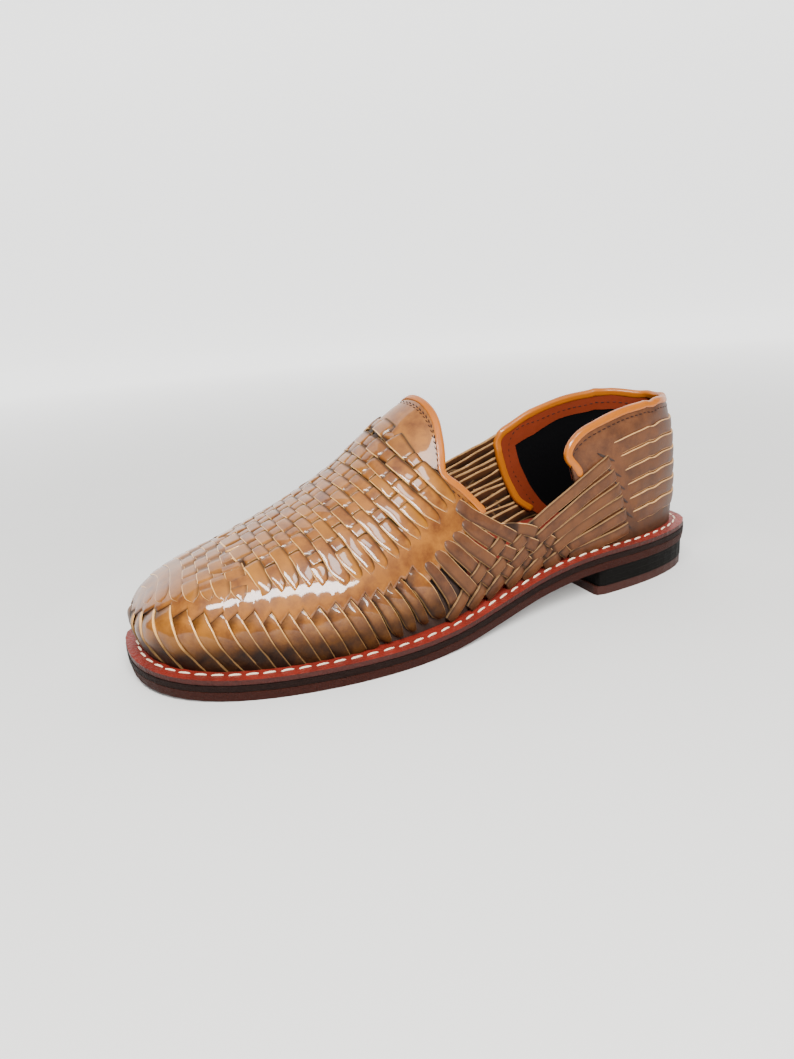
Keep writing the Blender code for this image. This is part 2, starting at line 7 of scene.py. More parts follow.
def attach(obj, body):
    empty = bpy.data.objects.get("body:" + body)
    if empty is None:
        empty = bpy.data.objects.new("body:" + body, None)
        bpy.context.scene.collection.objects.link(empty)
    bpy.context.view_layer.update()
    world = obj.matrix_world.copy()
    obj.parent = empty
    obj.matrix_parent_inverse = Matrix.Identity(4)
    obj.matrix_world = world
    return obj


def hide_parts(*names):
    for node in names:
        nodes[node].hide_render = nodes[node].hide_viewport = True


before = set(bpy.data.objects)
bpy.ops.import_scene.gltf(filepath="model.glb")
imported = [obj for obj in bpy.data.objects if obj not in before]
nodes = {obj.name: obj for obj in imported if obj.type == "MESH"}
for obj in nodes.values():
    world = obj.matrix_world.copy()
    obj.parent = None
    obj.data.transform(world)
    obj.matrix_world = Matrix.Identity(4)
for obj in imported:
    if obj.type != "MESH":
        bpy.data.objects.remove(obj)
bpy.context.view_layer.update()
print("frame loaded:", ", ".join(sorted(nodes)))

# Everything below is in millimetres, sideways from the middle of the heel, toe along -Y, outer side +X.
# Gather.finish moves it to the frame's origin and turns it into metres.
middleX = 4.5

# The last that everything lies on: a crown line over the foot, and a rib down either side at every station.
sole = {
    "length": 300.0, "ball": 109.0, "instep": 107.0, "toeTipX": -7.0,
    "outsole": 4.3, "midsole": 2.6, "welt": 2.2, "gap": 0.3,
    "spineToeY": -96.0, "spineHeelY": 112.0, "fanRadius": 34.0,
}
stack = sole["outsole"] + sole["midsole"] + sole["welt"] + 2 * sole["gap"]
# share of the length from the toe, lateral and medial reach as shares of the ball's width
outline = np.array([
    (0.008, 0.115, 0.222), (0.040, 0.280, 0.312), (0.100, 0.408, 0.392), (0.183, 0.494, 0.441),
    (0.293, 0.540, 0.459), (0.400, 0.526, 0.430), (0.517, 0.448, 0.372), (0.633, 0.367, 0.330),
    (0.750, 0.334, 0.317), (0.850, 0.305, 0.304), (0.923, 0.250, 0.250), (0.970, 0.178, 0.178),
    (0.994, 0.096, 0.096)])
# share of the length from the toe, height of the outsole's underside
undersideRows = np.array([
    (0.000, 3.0), (0.040, 1.8), (0.093, 0.7), (0.140, 0.2), (0.183, 0.0), (0.367, 0.0), (0.450, 0.8),
    (0.550, 4.8), (0.650, 10.2), (0.733, 13.2), (0.783, 13.8), (1.000, 13.8)])
# share of the length, inset lateral and medial, crown height, roundness across and up, swell, crown x
sections = np.array([
    (0.000, 8.5, 8.5, 0.336, 2.9, 2.4, 9.5, -6.0), (0.067, 9.0, 8.8, 0.407, 2.8, 2.3, 8.0, -6.0),
    (0.150, 9.3, 8.5, 0.467, 2.5, 2.2, 4.5, -6.0), (0.250, 9.5, 8.0, 0.570, 2.4, 2.0, 3.5, -7.0),
    (0.350, 9.5, 7.5, 0.712, 2.2, 1.8, 3.0, -8.5), (0.430, 9.4, 7.0, 0.883, 2.0, 1.75, 2.5, -8.5),
    (0.490, 8.8, 6.5, 0.985, 2.0, 1.75, 1.5, -7.0), (0.570, 8.2, 6.5, 1.075, 2.2, 1.75, 1.0, -4.0),
    (0.650, 7.5, 6.5, 1.120, 2.4, 1.8, 1.0, -1.0), (0.750, 7.0, 6.5, 1.150, 2.9, 2.0, 1.5, 0.0),
    (0.867, 7.3, 7.3, 1.100, 3.1, 2.0, 2.5, 0.0), (1.000, 8.0, 8.0, 1.010, 3.0, 2.0, 3.0, 0.0)])
# the mouth seen from the side: share round the mouth, share round the foot, place along, height
mouthLateral = np.array([
    (0.000, 0.000, -3.0, 107.0), (0.070, 0.130, -0.5, 100.0), (0.130, 0.220, -1.5, 91.0),
    (0.190, 0.300, -4.0, 80.5), (0.235, 0.360, -4.5, 74.5), (0.270, 0.410, 0.0, 70.0),
    (0.330, 0.490, 11.5, 56.5), (0.400, 0.580, 26.0, 45.0), (0.455, 0.640, 39.0, 45.0),
    (0.510, 0.690, 51.0, 54.0), (0.575, 0.735, 67.5, 63.0), (0.620, 0.748, 62.3, 72.0),
    (0.660, 0.765, 65.5, 79.5), (0.710, 0.795, 77.0, 85.5), (0.770, 0.840, 96.0, 90.0)])
mouthMedial = np.array([
    (0.070, 0.130, -4.5, 99.5), (0.130, 0.210, -5.5, 89.0), (0.190, 0.280, -5.0, 79.0),
    (0.235, 0.340, -3.0, 73.5), (0.280, 0.400, 5.0, 69.0), (0.330, 0.460, 16.0, 66.0),
    (0.400, 0.535, 32.0, 70.0), (0.470, 0.610, 47.0, 75.8), (0.535, 0.665, 59.0, 80.5),
    (0.600, 0.715, 69.0, 85.3), (0.680, 0.765, 82.0, 89.3), (0.760, 0.830, 99.0, 92.5)])
# share round the mouth, share round the foot, degrees off straight back
mouthHeel = np.array([(0.820, 0.873, 90.0), (0.865, 0.905, 65.0), (0.910, 0.935, 43.0), (0.955, 0.967, 21.0),
                      (1.000, 1.000, 0.0)])
topLineBack, topLineLateral, topLineMedial = 90.0, 91.5, 94.0


# cubic through rising xs whose slope at each knot is the weighted harmonic mean of its neighbours'
def smoothTable(x, xs, ys):
    step = np.diff(xs)
    slope = np.diff(ys) / step
    before, after = slope[:-1], slope[1:]
    sameWay = before * after > 0
    weightA, weightB = 2 * step[1:] + step[:-1], step[1:] + 2 * step[:-1]
    pull = weightA / np.where(sameWay, before, 1) + weightB / np.where(sameWay, after, 1)
    tangent = np.r_[slope[0], np.where(sameWay, (weightA + weightB) / pull, 0), slope[-1]]
    x = np.clip(x, xs[0], xs[-1])
    k = np.clip(np.searchsorted(xs, x, side="right") - 1, 0, len(step) - 1)
    t = (x - xs[k]) / step[k]
    return (ys[k] * (1 + 2 * t) * (1 - t) ** 2 + step[k] * tangent[k] * t * (1 - t) ** 2
            + ys[k + 1] * t * t * (3 - 2 * t) + step[k] * tangent[k + 1] * t * t * (t - 1))


# closed cubic spline: the bend at each knot solves one row of a periodic three-term system
def closedSpline(knots, points, period, at):
    step = np.diff(np.r_[knots, knots[0] + period])
    slope = (np.roll(points, -1, 0) - points) / step[:, None]
    matrix = np.diag(2 * (step + np.roll(step, 1)))
    index = np.arange(len(knots))
    matrix[index, index - 1] += np.roll(step, 1)
    matrix[index, (index + 1) % len(knots)] += step
    bend = np.linalg.solve(matrix, 6 * (slope - np.roll(slope, 1, 0)))
    u = (at - knots[0]) % period + knots[0]
    k = np.clip(np.searchsorted(knots, u, side="right") - 1, 0, len(knots) - 1)
    j = (k + 1) % len(knots)
    b = ((u - knots[k]) / step[k])[:, None]
    a = 1 - b
    return (a * points[k] + b * points[j]
            + ((a ** 3 - a) * bend[k] + (b ** 3 - b) * bend[j]) * (step[k] ** 2)[:, None] / 6)


# each point of a closed plan curve moved inwards, square to the curve
def insetRing(ring, depth):
    along = np.roll(ring, -1, 0) - np.roll(ring, 1, 0)
    along /= np.linalg.norm(along, axis=1)[:, None]
    inward = np.c_[-along[:, 1], along[:, 0]]
    if np.sum(inward * (ring.mean(0) - ring)) < 0:
        inward = -inward
    return ring + inward * (depth * np.ones(len(ring)))[:, None]


# plan of the sole: a closed spline through the outline, from the heel's middle up the outer side
def soleRing(count):
    y = (outline[:, 0] - 0.5) * sole["length"]
    lateral = np.c_[outline[:, 1] * sole["ball"], y]
    medial = np.c_[-outline[:, 2] * sole["ball"], y]
    points = np.vstack([[(0.0, sole["length"] / 2)], lateral[::-1],
                        [(sole["toeTipX"], -sole["length"] / 2)], medial])
    reach = np.linalg.norm(np.roll(points, -1, 0) - points, axis=1)
    knots = np.r_[0, np.cumsum(reach)[:-1]]
    return closedSpline(knots, points, reach.sum(), np.linspace(0, reach.sum(), count, endpoint=False))


# place along the shoe as a share of its length, 0 at the toe
def station(y):
    return np.asarray(y, float) / sole["length"] + 0.5


# height of the outsole's underside over the floor
def underside(y):
    return smoothTable(station(y), undersideRows[:, 0], undersideRows[:, 1])


# height of the welt's top, which the upper stands on
def weltTop(y):
    return underside(y) + stack


# one column of the sections at a place along the shoe
def section(column, y):
    return smoothTable(station(y), sections[:, 0], sections[:, column])


# plan of the upper's foot: the sole's moved in by the outer or inner inset, blended across the toe
def footRing(count):
    ring = soleRing(count)
    lateral = np.clip((ring[:, 0] - sole["toeTipX"] / 2) / 12 + 0.5, 0, 1)
    return insetRing(ring, lateral * section(1, ring[:, 1]) + (1 - lateral) * section(2, ring[:, 1]))


foot = footRing(720)
spineToe, spineHeel = sole["spineToeY"], sole["spineHeelY"]


# sideways place of the crown line, which ends over the toe and over the heel
def crownX(y):
    return section(7, np.clip(y, spineToe, spineHeel))


heelFirst = np.roll(foot, -int(np.argmax(foot[:, 1])), 0)
toeIndex = int(np.argmin(heelFirst[:, 1]))
lateralFoot = heelFirst[:toeIndex + 1][::-1]
medialFoot = np.vstack([heelFirst[toeIndex:], heelFirst[:1]])


# the foot beyond one end of the crown line, as radius against the angle from straight on
def capTable(yCentre, way):
    centre = np.array([float(crownX(yCentre)), yCentre])
    out = foot - centre
    near = out[:, 1] * way >= -6
    angle, radius = np.arctan2(out[near, 0], out[near, 1] * way), np.hypot(*out[near].T)
    order = np.argsort(angle)
    return centre, angle[order], radius[order]


caps = ((capTable(spineToe, -1), -1), (capTable(spineHeel, 1), 1))


# rib of the last over a plan point: crown point, foot point and the share out from crown to foot
def rib(x, y):
    x, y = np.broadcast_arrays(np.asarray(x, float), np.asarray(y, float))
    yCrown = np.clip(y, spineToe, spineHeel)
    crown = np.stack([crownX(yCrown), yCrown], -1)
    dx, dy = x - crown[..., 0], y - crown[..., 1]
    footX = np.where(dx >= 0, np.interp(yCrown, lateralFoot[:, 1], lateralFoot[:, 0]),
                     np.interp(yCrown, medialFoot[:, 1], medialFoot[:, 0]))
    end = np.stack([footX, yCrown], -1)
    for (centre, angles, radii), way in caps:
        beyond = y < spineToe if way < 0 else y > spineHeel
        angle = np.arctan2(dx, dy * way)
        radius = np.interp(angle, angles, radii)
        tip = np.stack([centre[0] + radius * np.sin(angle), centre[1] + way * radius * np.cos(angle)], -1)
        end = np.where(beyond[..., None], tip, end)
    reach = np.hypot(end[..., 0] - crown[..., 0], end[..., 1] - crown[..., 1])
    return crown, end, np.hypot(dx, dy) / np.maximum(reach, 1e-6)


# the last: each rib is a superellipse from foot to crown, swelling over its foot by the sine of twice
# the angle, under a crown whose height follows the point's own place along the shoe
def lastPoint(x, y):
    crown, end, share = rib(x, y)
    across, up, swell = (section(k, end[..., 1]) for k in (4, 5, 6))
    angle = (1 - np.clip(share, 0, 1) ** (across / 2)) * math.pi / 2
    reach = np.maximum(np.hypot(end[..., 0] - crown[..., 0], end[..., 1] - crown[..., 1]), 1e-6)
    out = np.cos(angle) ** (2 / across) + swell / reach * np.sin(2 * angle)
    plan = crown + (end - crown) * out[..., None]
    base = weltTop(end[..., 1])
    crownZ = section(3, plan[..., 1]) * sole["instep"]
    z = base + (crownZ - base) * np.sin(angle) ** (2 / up)
    return np.stack([plan[..., 0], plan[..., 1], z], -1)


# vectors scaled to length one
def unit(v):
    return v / np.maximum(np.linalg.norm(v, axis=-1, keepdims=True), 1e-9)


# the two slopes of a skin at (u, v), by differences over a small step either way
def skinSlopes(skin, u, v, step=0.3):
    du = (skin(u + step, v) - skin(u - step, v)) / (2 * step)
    dv = (skin(u, v + step) - skin(u, v - step)) / (2 * step)
    return du, dv


# outward normal of a skin: the cross product of its slopes
def skinNormal(skin, u, v, step):
    return unit(np.cross(*skinSlopes(skin, u, v, step)))


# distance along a line of points from its start
def runAlong(points):
    return np.r_[0, np.cumsum(np.linalg.norm(np.diff(points, axis=0), axis=1))]


# share out from the crown at which the wall has a given height
def shareAtHeight(y, z, footY):
    base, crownZ = weltTop(footY), section(3, y) * sole["instep"]
    angle = np.arcsin(np.clip((z - base) / (crownZ - base), 0, 1) ** (section(5, footY) / 2))
    return (1 - angle / (math.pi / 2)) ** (2 / section(4, footY))


# plan points of the mouth's side rows, from their place along the shoe and their height
def mouthSide(rows, side):
    y, z = rows[:, 2], rows[:, 3]
    table = lateralFoot if side > 0 else medialFoot
    footX = np.interp(y, table[:, 1], table[:, 0])
    return np.c_[crownX(y) + (footX - crownX(y)) * shareAtHeight(y, z, y), y]


# plan points of the mouth behind the crown line, at degrees off straight back
def mouthBack(degrees):
    centre, angles, radii = caps[1][0]
    turn = np.radians(degrees)
    radius = np.interp(turn, angles, radii)
    end = np.c_[centre[0] + radius * np.sin(turn), centre[1] + radius * np.cos(turn)]
    sideZ = np.where(turn > 0, topLineLateral, topLineMedial)
    z = topLineBack + (sideZ - topLineBack) * np.sin(turn) ** 2
    return centre + (end - centre) * shareAtHeight(end[:, 1], z, end[:, 1])[:, None]


# plan point of the mouth at a signed share: 0 at the tongue's tip, 1 at the heel, lateral side positive
def mouth(at):
    heel = np.r_[mouthHeel[:, 2], -mouthHeel[-2::-1, 2]]
    knots = np.r_[mouthLateral[:, 0], mouthHeel[:, 0], 2 - mouthHeel[-2::-1, 0], 2 - mouthMedial[::-1, 0]]
    points = np.vstack([mouthSide(mouthLateral, 1), mouthBack(heel), mouthSide(mouthMedial, -1)[::-1]])
    return closedSpline(knots, points, 2.0, np.asarray(at, float) % 2.0)


# plan point of the upper's foot below a share round the mouth
def footAt(at):
    at = (np.asarray(at, float) + 1) % 2 - 1
    points = np.empty((len(at), 2))
    for rows, table, mask in ((mouthLateral, lateralFoot, at >= 0),
                              (np.vstack([mouthLateral[:1], mouthMedial]), medialFoot, at < 0)):
        shares, feet = np.r_[rows[:, 0], mouthHeel[:, 0]], np.r_[rows[:, 1], mouthHeel[:, 1]]
        along = runAlong(table)
        run = smoothTable(abs(at[mask]), shares, feet) * along[-1]
        points[mask] = np.c_[np.interp(run, along, table[:, 0]), np.interp(run, along, table[:, 1])]
    return points


# The last charted with a tape: r runs along the shoe and on round toe and heel, t is the length up the
# rib from the foot. The chart is a table of ribs by equal steps up each.
ribSteps, upSteps = 330, 140
toeEnd = spineToe - sole["fanRadius"] * math.pi / 2
heelEnd = spineHeel + sole["fanRadius"] * math.pi / 2
ribPlaces = np.linspace(toeEnd, heelEnd, ribSteps)


# crown and foot of the rib at r, as plan points; beyond the crown line the ribs fan round its end
def ribEnds(r, side):
    r = np.asarray(r, float)
    y = np.clip(r, spineToe, spineHeel)
    crown = np.stack([crownX(y), y], -1)
    table = lateralFoot if side > 0 else medialFoot
    end = np.stack([np.interp(y, table[:, 1], table[:, 0]), y], -1)
    for (centre, angles, radii), way in caps:
        past = (spineToe - r) if way < 0 else (r - spineHeel)
        angle = side * (math.pi / 2 - np.clip(past, 0, None) / sole["fanRadius"])
        radius = np.interp(angle, angles, radii)
        tip = np.stack([centre[0] + radius * np.sin(angle), centre[1] + way * radius * np.cos(angle)], -1)
        end = np.where((past > 0)[..., None], tip, end)
    return crown, end


# length of each rib, and its share out from the crown at equal steps of length up it
def ribTable(side):
    crown, end = ribEnds(ribPlaces, side)
    share = np.linspace(1, 0, upSteps)
    plan = crown[:, None] + (end - crown)[:, None] * share[None, :, None]
    points = lastPoint(plan[..., 0], plan[..., 1])
    run = np.cumsum(np.linalg.norm(np.diff(points, axis=1), axis=2), axis=1)
    run = np.c_[np.zeros(ribSteps), run]
    fraction = np.linspace(0, 1, upSteps)
    shares = np.array([np.interp(fraction * row[-1], row, share) for row in run])
    return run[:, -1], shares


ribTables = {1: ribTable(1), -1: ribTable(-1)}


# length of the rib at r from foot to crown
def ribLength(r, side):
    return np.interp(r, ribPlaces, ribTables[side][0])


# plan point for a place r along the shoe and a fraction f up the rib (0 foot, 1 crown)
def onRib(r, f, side):
    r, f = np.broadcast_arrays(np.asarray(r, float), np.asarray(f, float))
    shares = ribTables[side][1]
    a = np.clip((r - toeEnd) / (heelEnd - toeEnd) * (ribSteps - 1), 0, ribSteps - 1.001)
    b = np.clip(f * (upSteps - 1), 0, upSteps - 1.001)
    i, j = a.astype(int), b.astype(int)
    u, v = a - i, b - j
    share = ((1 - u) * (1 - v) * shares[i, j] + u * (1 - v) * shares[i + 1, j]
             + (1 - u) * v * shares[i, j + 1] + u * v * shares[i + 1, j + 1])
    share = np.where(f < 0, 1 - f * 1.2, share)
    crown, end = ribEnds(r, side)
    return crown + (end - crown) * share[..., None]


# the same with the tape's own length in millimetres, or the same fraction of it on the medial side
def tape(r, t, side):
    return onRib(r, np.asarray(t, float) / ribLength(r, 1), side)


# quads over a grid of rows and columns; closeColumns joins the last column to the first
def gridQuads(rows, columns, closeColumns=False):
    r = np.arange(rows - 1)[:, None]
    c = np.arange(columns if closeColumns else columns - 1)[None]
    nextC = (c + 1) % columns
    corners = (r * columns + c, (r + 1) * columns + c, (r + 1) * columns + nextC, r * columns + nextC)
    return list(map(tuple, np.stack(np.broadcast_arrays(*corners), -1).reshape(-1, 4).tolist()))


# quads of a tube of rings, with both ends closed
def tubeQuads(rings, around):
    ends = [tuple(range(around))[::-1], tuple(range((rings - 1) * around, rings * around))]
    return gridQuads(rings, around, closeColumns=True) + ends


# the quads, all turned over if the one at row i and column j doesn't face along "out"
def facingOut(quads, points, i, j, out):
    normal = np.cross(points[i + 1, j] - points[i, j], points[i, j + 1] - points[i, j])
    return [q[::-1] for q in quads] if np.dot(normal, out) < 0 else quads


# Several grids of points gathered into one mesh, with the values that its material reads at each point.
# It is finished at the frame's origin, in metres, and smooth except at edges sharper than so many degrees.
class Gather:
    # nothing gathered yet
    def __init__(self):
        self.points, self.quads, self.count, self.values = [], [], 0, {}

    # a grid of points with its quads and values
    def add(self, points, quads, **values):
        self.quads += [tuple(int(k) + self.count for k in q) for q in quads]
        self.points.append(np.asarray(points, float).reshape(-1, 3))
        self.count += len(self.points[-1])
        for key, value in values.items():
            self.values.setdefault(key, []).append(np.broadcast_to(value, np.shape(points)[:-1]).ravel())

    # all of it as one object, standing for one frame piece where that is named
    def finish(self, name, slotName, replacing=None, sharp=50):
        mesh = bpy.data.meshes.new(name)
        mesh.from_pydata(((np.vstack(self.points) - (middleX, 0, 0)) * 0.001).tolist(), [], self.quads)
        mesh.polygons.foreach_set("use_smooth", np.ones(len(mesh.polygons), bool))
        for key, values in self.values.items():
            layer = mesh.attributes.new(key, "FLOAT", "POINT")
            layer.data.foreach_set("value", np.concatenate(values).astype(np.float32))
        mesh.validate()
        if sharp:
            mesh.set_sharp_from_angle(angle=math.radians(sharp))
        shown = bpy.data.objects.new(name, mesh)
        bpy.context.collection.objects.link(shown)
        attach(shown, "root")
        if replacing:
            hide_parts(replacing)
        print(name, "faces", len(self.quads))
        return shown


# A thin slab between two grids of points: the outer face, the inner one turned over, and a rim right round.
def slab(gather, outer, inner, **values):
    rows, columns = outer.shape[:2]
    count = rows * columns
    face = gridQuads(rows, columns)
    quads = face + [tuple(k + count for k in q[::-1]) for q in face]
    for edge in (0, columns - 1):
        a = np.arange(rows - 1) * columns + edge
        rim = np.stack([a, a + columns, a + columns + count, a + count], -1)
        quads += list(map(tuple, rim[:, ::-1] if edge == 0 else rim))
    for edge in (0, rows - 1):
        a = np.arange(columns - 1) + edge * columns
        rim = np.stack([a, a + 1, a + 1 + count, a + count], -1)
        quads += list(map(tuple, rim if edge == 0 else rim[:, ::-1]))
    i, j = rows // 2, columns // 2
    gather.add(np.stack([outer, inner]), facingOut(quads, outer, i, j, outer[i, j] - inner[i, j]), **values)


# smooth step from 0 at low to 1 at high
def rise(x, low, high):
    t = np.clip((x - low) / (high - low), 0, 1)
    return t * t * (3 - 2 * t)


# smooth curve through rows of control values: cubic Hermite whose slope at each row is the
# difference of its neighbours over their distance apart, measured in the first two columns
def curveThrough(rows, count):
    rows = np.asarray(rows, float)
    knots = np.r_[0, np.cumsum(np.maximum(np.linalg.norm(np.diff(rows[:, :2], axis=0), axis=1), 1e-3))]
    slope = np.gradient(rows, knots, axis=0)
    at = np.linspace(0, knots[-1], count)
    k = np.clip(np.searchsorted(knots, at, side="right") - 1, 0, len(knots) - 2)
    step = (knots[k + 1] - knots[k])[:, None]
    t = (at[:, None] - knots[k][:, None]) / step
    return (rows[k] * (1 + 2 * t) * (1 - t) ** 2 + step * slope[k] * t * (1 - t) ** 2
            + rows[k + 1] * t * t * (3 - 2 * t) + step * slope[k + 1] * t * t * (t - 1))


# Skins that straps are laid on. lastPoint is one, over the plan. This one is over (r, t) on one side: t is
# millimetres up from the foot, and below the foot it goes straight down.
def sideSkin(side):
    # the point at (r, t)
    def skin(r, t):
        plan = tape(r, t, side)
        points = lastPoint(plan[..., 0], plan[..., 1])
        points[..., 2] += np.minimum(t, 0)
        return points
    return skin


# the same right round: w is r measured from the toe's tip, positive on the lateral side
def roundSkin(w, t):
    w, t = np.broadcast_arrays(np.asarray(w, float), np.asarray(t, float))
    r = toeEnd + np.abs(w)
    plan = np.where((w >= 0)[..., None], tape(r, t, 1), tape(r, t, -1))
    points = lastPoint(plan[..., 0], plan[..., 1])
    points[..., 2] += np.minimum(t, 0)
    return points


# plan point at r along the shoe and c across from the crown line, positive on the lateral side; on the
# medial side c is the same share of the rib as on the lateral one
def crownPlan(r, c):
    r, c = np.broadcast_arrays(np.asarray(r, float), np.asarray(c, float))
    length = ribLength(r, 1)
    return np.where((c >= 0)[..., None], tape(r, length - c, 1), tape(r, length + c, -1))


# profile of a strap: place across it from edge to edge (-1 to 1), height from its underside (0) to its
# top (1), and how much of the leather's cut edge shows
strapProfile = np.array([
    (-0.9, 0.0, 1.0), (-1.0, 0.12, 1.0), (-1.0, 0.74, 1.0), (-0.93, 0.97, 0.8), (-0.84, 1.0, 0.0),
    (-0.45, 1.0, 0.0), (0.0, 1.0, 0.0), (0.45, 1.0, 0.0), (0.84, 1.0, 0.0), (0.93, 0.97, 0.8),
    (1.0, 0.74, 1.0), (1.0, 0.12, 1.0), (0.9, 0.0, 1.0), (0.62, 0.0, 0.2), (0.2, 0.0, 0.0), (-0.5, 0.0, 0.1)])


# the rows of a strap: places (u, v), widths to the left and right of its line, height of its underside
# off the skin, thickness and padding of its middle; a single number fills its column
def strapRows(places, *columns):
    return np.c_[places, np.stack([np.broadcast_to(k, len(places)) for k in columns], -1)]


# A strap: its profile carried along a line on the skin. A point lies across x width from the line along
# the skin, then height + thickness x profile + padding x (1 - across squared) + lift + tilt x across out
# along the skin's normal. lift, wobble (of the width) and the painted shade are functions of the run along
# the strap.
def strap(gather, skin, rows, outward, tone, stain, count=None, lift=None, tilt=0.0, wobble=None):
    fine = curveThrough(rows, 400)
    fineRun = runAlong(skin(fine[:, 0], fine[:, 1]))
    count = count or max(6, int(runAlong(skin(*curveThrough(rows, 60).T[:2]))[-1] / 1.15))
    s = np.linspace(0, fineRun[-1], count)
    u, v, left, right, low, thick, pad = (np.interp(s, fineRun, column) for column in fine.T)
    du, dv = skinSlopes(skin, u, v)
    along = unit(np.gradient(skin(u, v), axis=0))
    side = unit(np.cross(along, unit(np.cross(du, dv)) * outward))
    # small step (a, b) on the skin that moves one millimetre along "side"
    uu, uv, vv = (du * du).sum(-1), (du * dv).sum(-1), (dv * dv).sum(-1)
    su, sv = (du * side).sum(-1), (dv * side).sum(-1)
    det = np.maximum(uu * vv - uv * uv, 1e-6)
    a, b = (vv * su - uv * sv) / det, (uu * sv - uv * su) / det
    across, height, cut = strapProfile.T
    width = (right + left)[:, None] * (across[None] + 1) / 2 - left[:, None]
    if wobble is not None:
        width = width * (1 + wobble(s)[:, None])
    pu, pv = u[:, None] + a[:, None] * width, v[:, None] + b[:, None] * width
    up = skinNormal(skin, pu, pv, 0.3) * outward
    domed = (1 - across ** 2) * (height > 0.5)
    h = low[:, None] + thick[:, None] * height + pad[:, None] * domed + tilt * across
    if lift is not None:
        h = h + lift(s[:, None], width)
    points = skin(pu, pv) + up * h[..., None]
    i, j = count // 2, 6
    gather.add(points, facingOut(tubeQuads(count, len(across)), points, i, j, up[i, j]), cut=cut, tone=tone,
               stain=stain(s[:, None], across[None]), along=s[:, None] * 0.001, across=width * 0.001)


# small irregularities are all drawn from here, in the order in which the pieces are built
rng = np.random.default_rng(7)


# a new material with an empty shader; its tree and shader are returned with it
def newMaterial(name):
    material = bpy.data.materials.new(name)
    material.use_nodes = True
    tree = material.node_tree
    tree.nodes.clear()
    out = tree.nodes.new("ShaderNodeOutputMaterial")
    shader = tree.nodes.new("ShaderNodeBsdfPrincipled")
    tree.links.new(shader.outputs[0], out.inputs["Surface"])
    return material, tree, shader


# sockets fed with fixed values, or with what comes out of other nodes
def feed(tree, sockets, values):
    for key, value in values.items():
        if isinstance(value, bpy.types.NodeSocket):
            tree.links.new(value, sockets[key])
        else:
            sockets[key].default_value = value


# a shader node of some kind, with its inputs fed and its settings made
def node(tree, kind, inputs=None, **settings):
    made = tree.nodes.new("ShaderNode" + kind)
    for key, value in settings.items():
        setattr(made, key, value)
    feed(tree, made.inputs, inputs or {})
    return made


# colour a turned into colour b by a factor
def mixColour(tree, factor, a, b):
    return node(tree, "Mix", {0: factor, 6: a, 7: b}, data_type="RGBA").outputs[2]


# one sum on one or two values
def maths(tree, kind, a, b=0.0, clamp=False):
    return node(tree, "Math", {0: a, 1: b}, operation=kind, use_clamp=clamp).outputs[0]


# low to high turned into toLow to toHigh, held at both ends
def mapRange(tree, value, low, high, toLow=0.0, toHigh=1.0):
    return node(tree, "MapRange", {0: value, 1: low, 2: high, 3: toLow, 4: toHigh}).outputs[0]


# sRGB colour from 0 to 255, as the linear one that sockets take
def linear(r, g, b):
    c = np.array([r, g, b]) / 255.0
    c = np.where(c <= 0.04045, c / 12.92, ((c + 0.055) / 1.055) ** 2.4)
    return (*map(float, c), 1.0)


# cloudy noise, from 0 to 1
def noise(tree, vector, scale, detail=3.0, rough=0.55):
    inputs = {"Vector": vector, "Scale": scale, "Detail": detail, "Roughness": rough}
    return node(tree, "TexNoise", inputs).outputs[0]


# An effect that several materials share is a node group with its own named inputs and outputs:
# colours, vectors, and for every other name a value.
def newGroup(name, inputs, outputs, colours, vectors):
    tree = bpy.data.node_groups.new(name, "ShaderNodeTree")
    kinds = {**dict.fromkeys(colours, "NodeSocketColor"), **dict.fromkeys(vectors, "NodeSocketVector")}
    for way, labels in (("INPUT", inputs), ("OUTPUT", outputs)):
        for label in labels:
            tree.interface.new_socket(label, in_out=way, socket_type=kinds.get(label, "NodeSocketFloat"))
    return tree, tree.nodes.new("NodeGroupInput").outputs, tree.nodes.new("NodeGroupOutput").inputs


# a group placed in a material with that material's own values
def useGroup(tree, group, values):
    made = tree.nodes.new("ShaderNodeGroup")
    made.node_tree = group
    feed(tree, made.inputs, values)
    return made.outputs
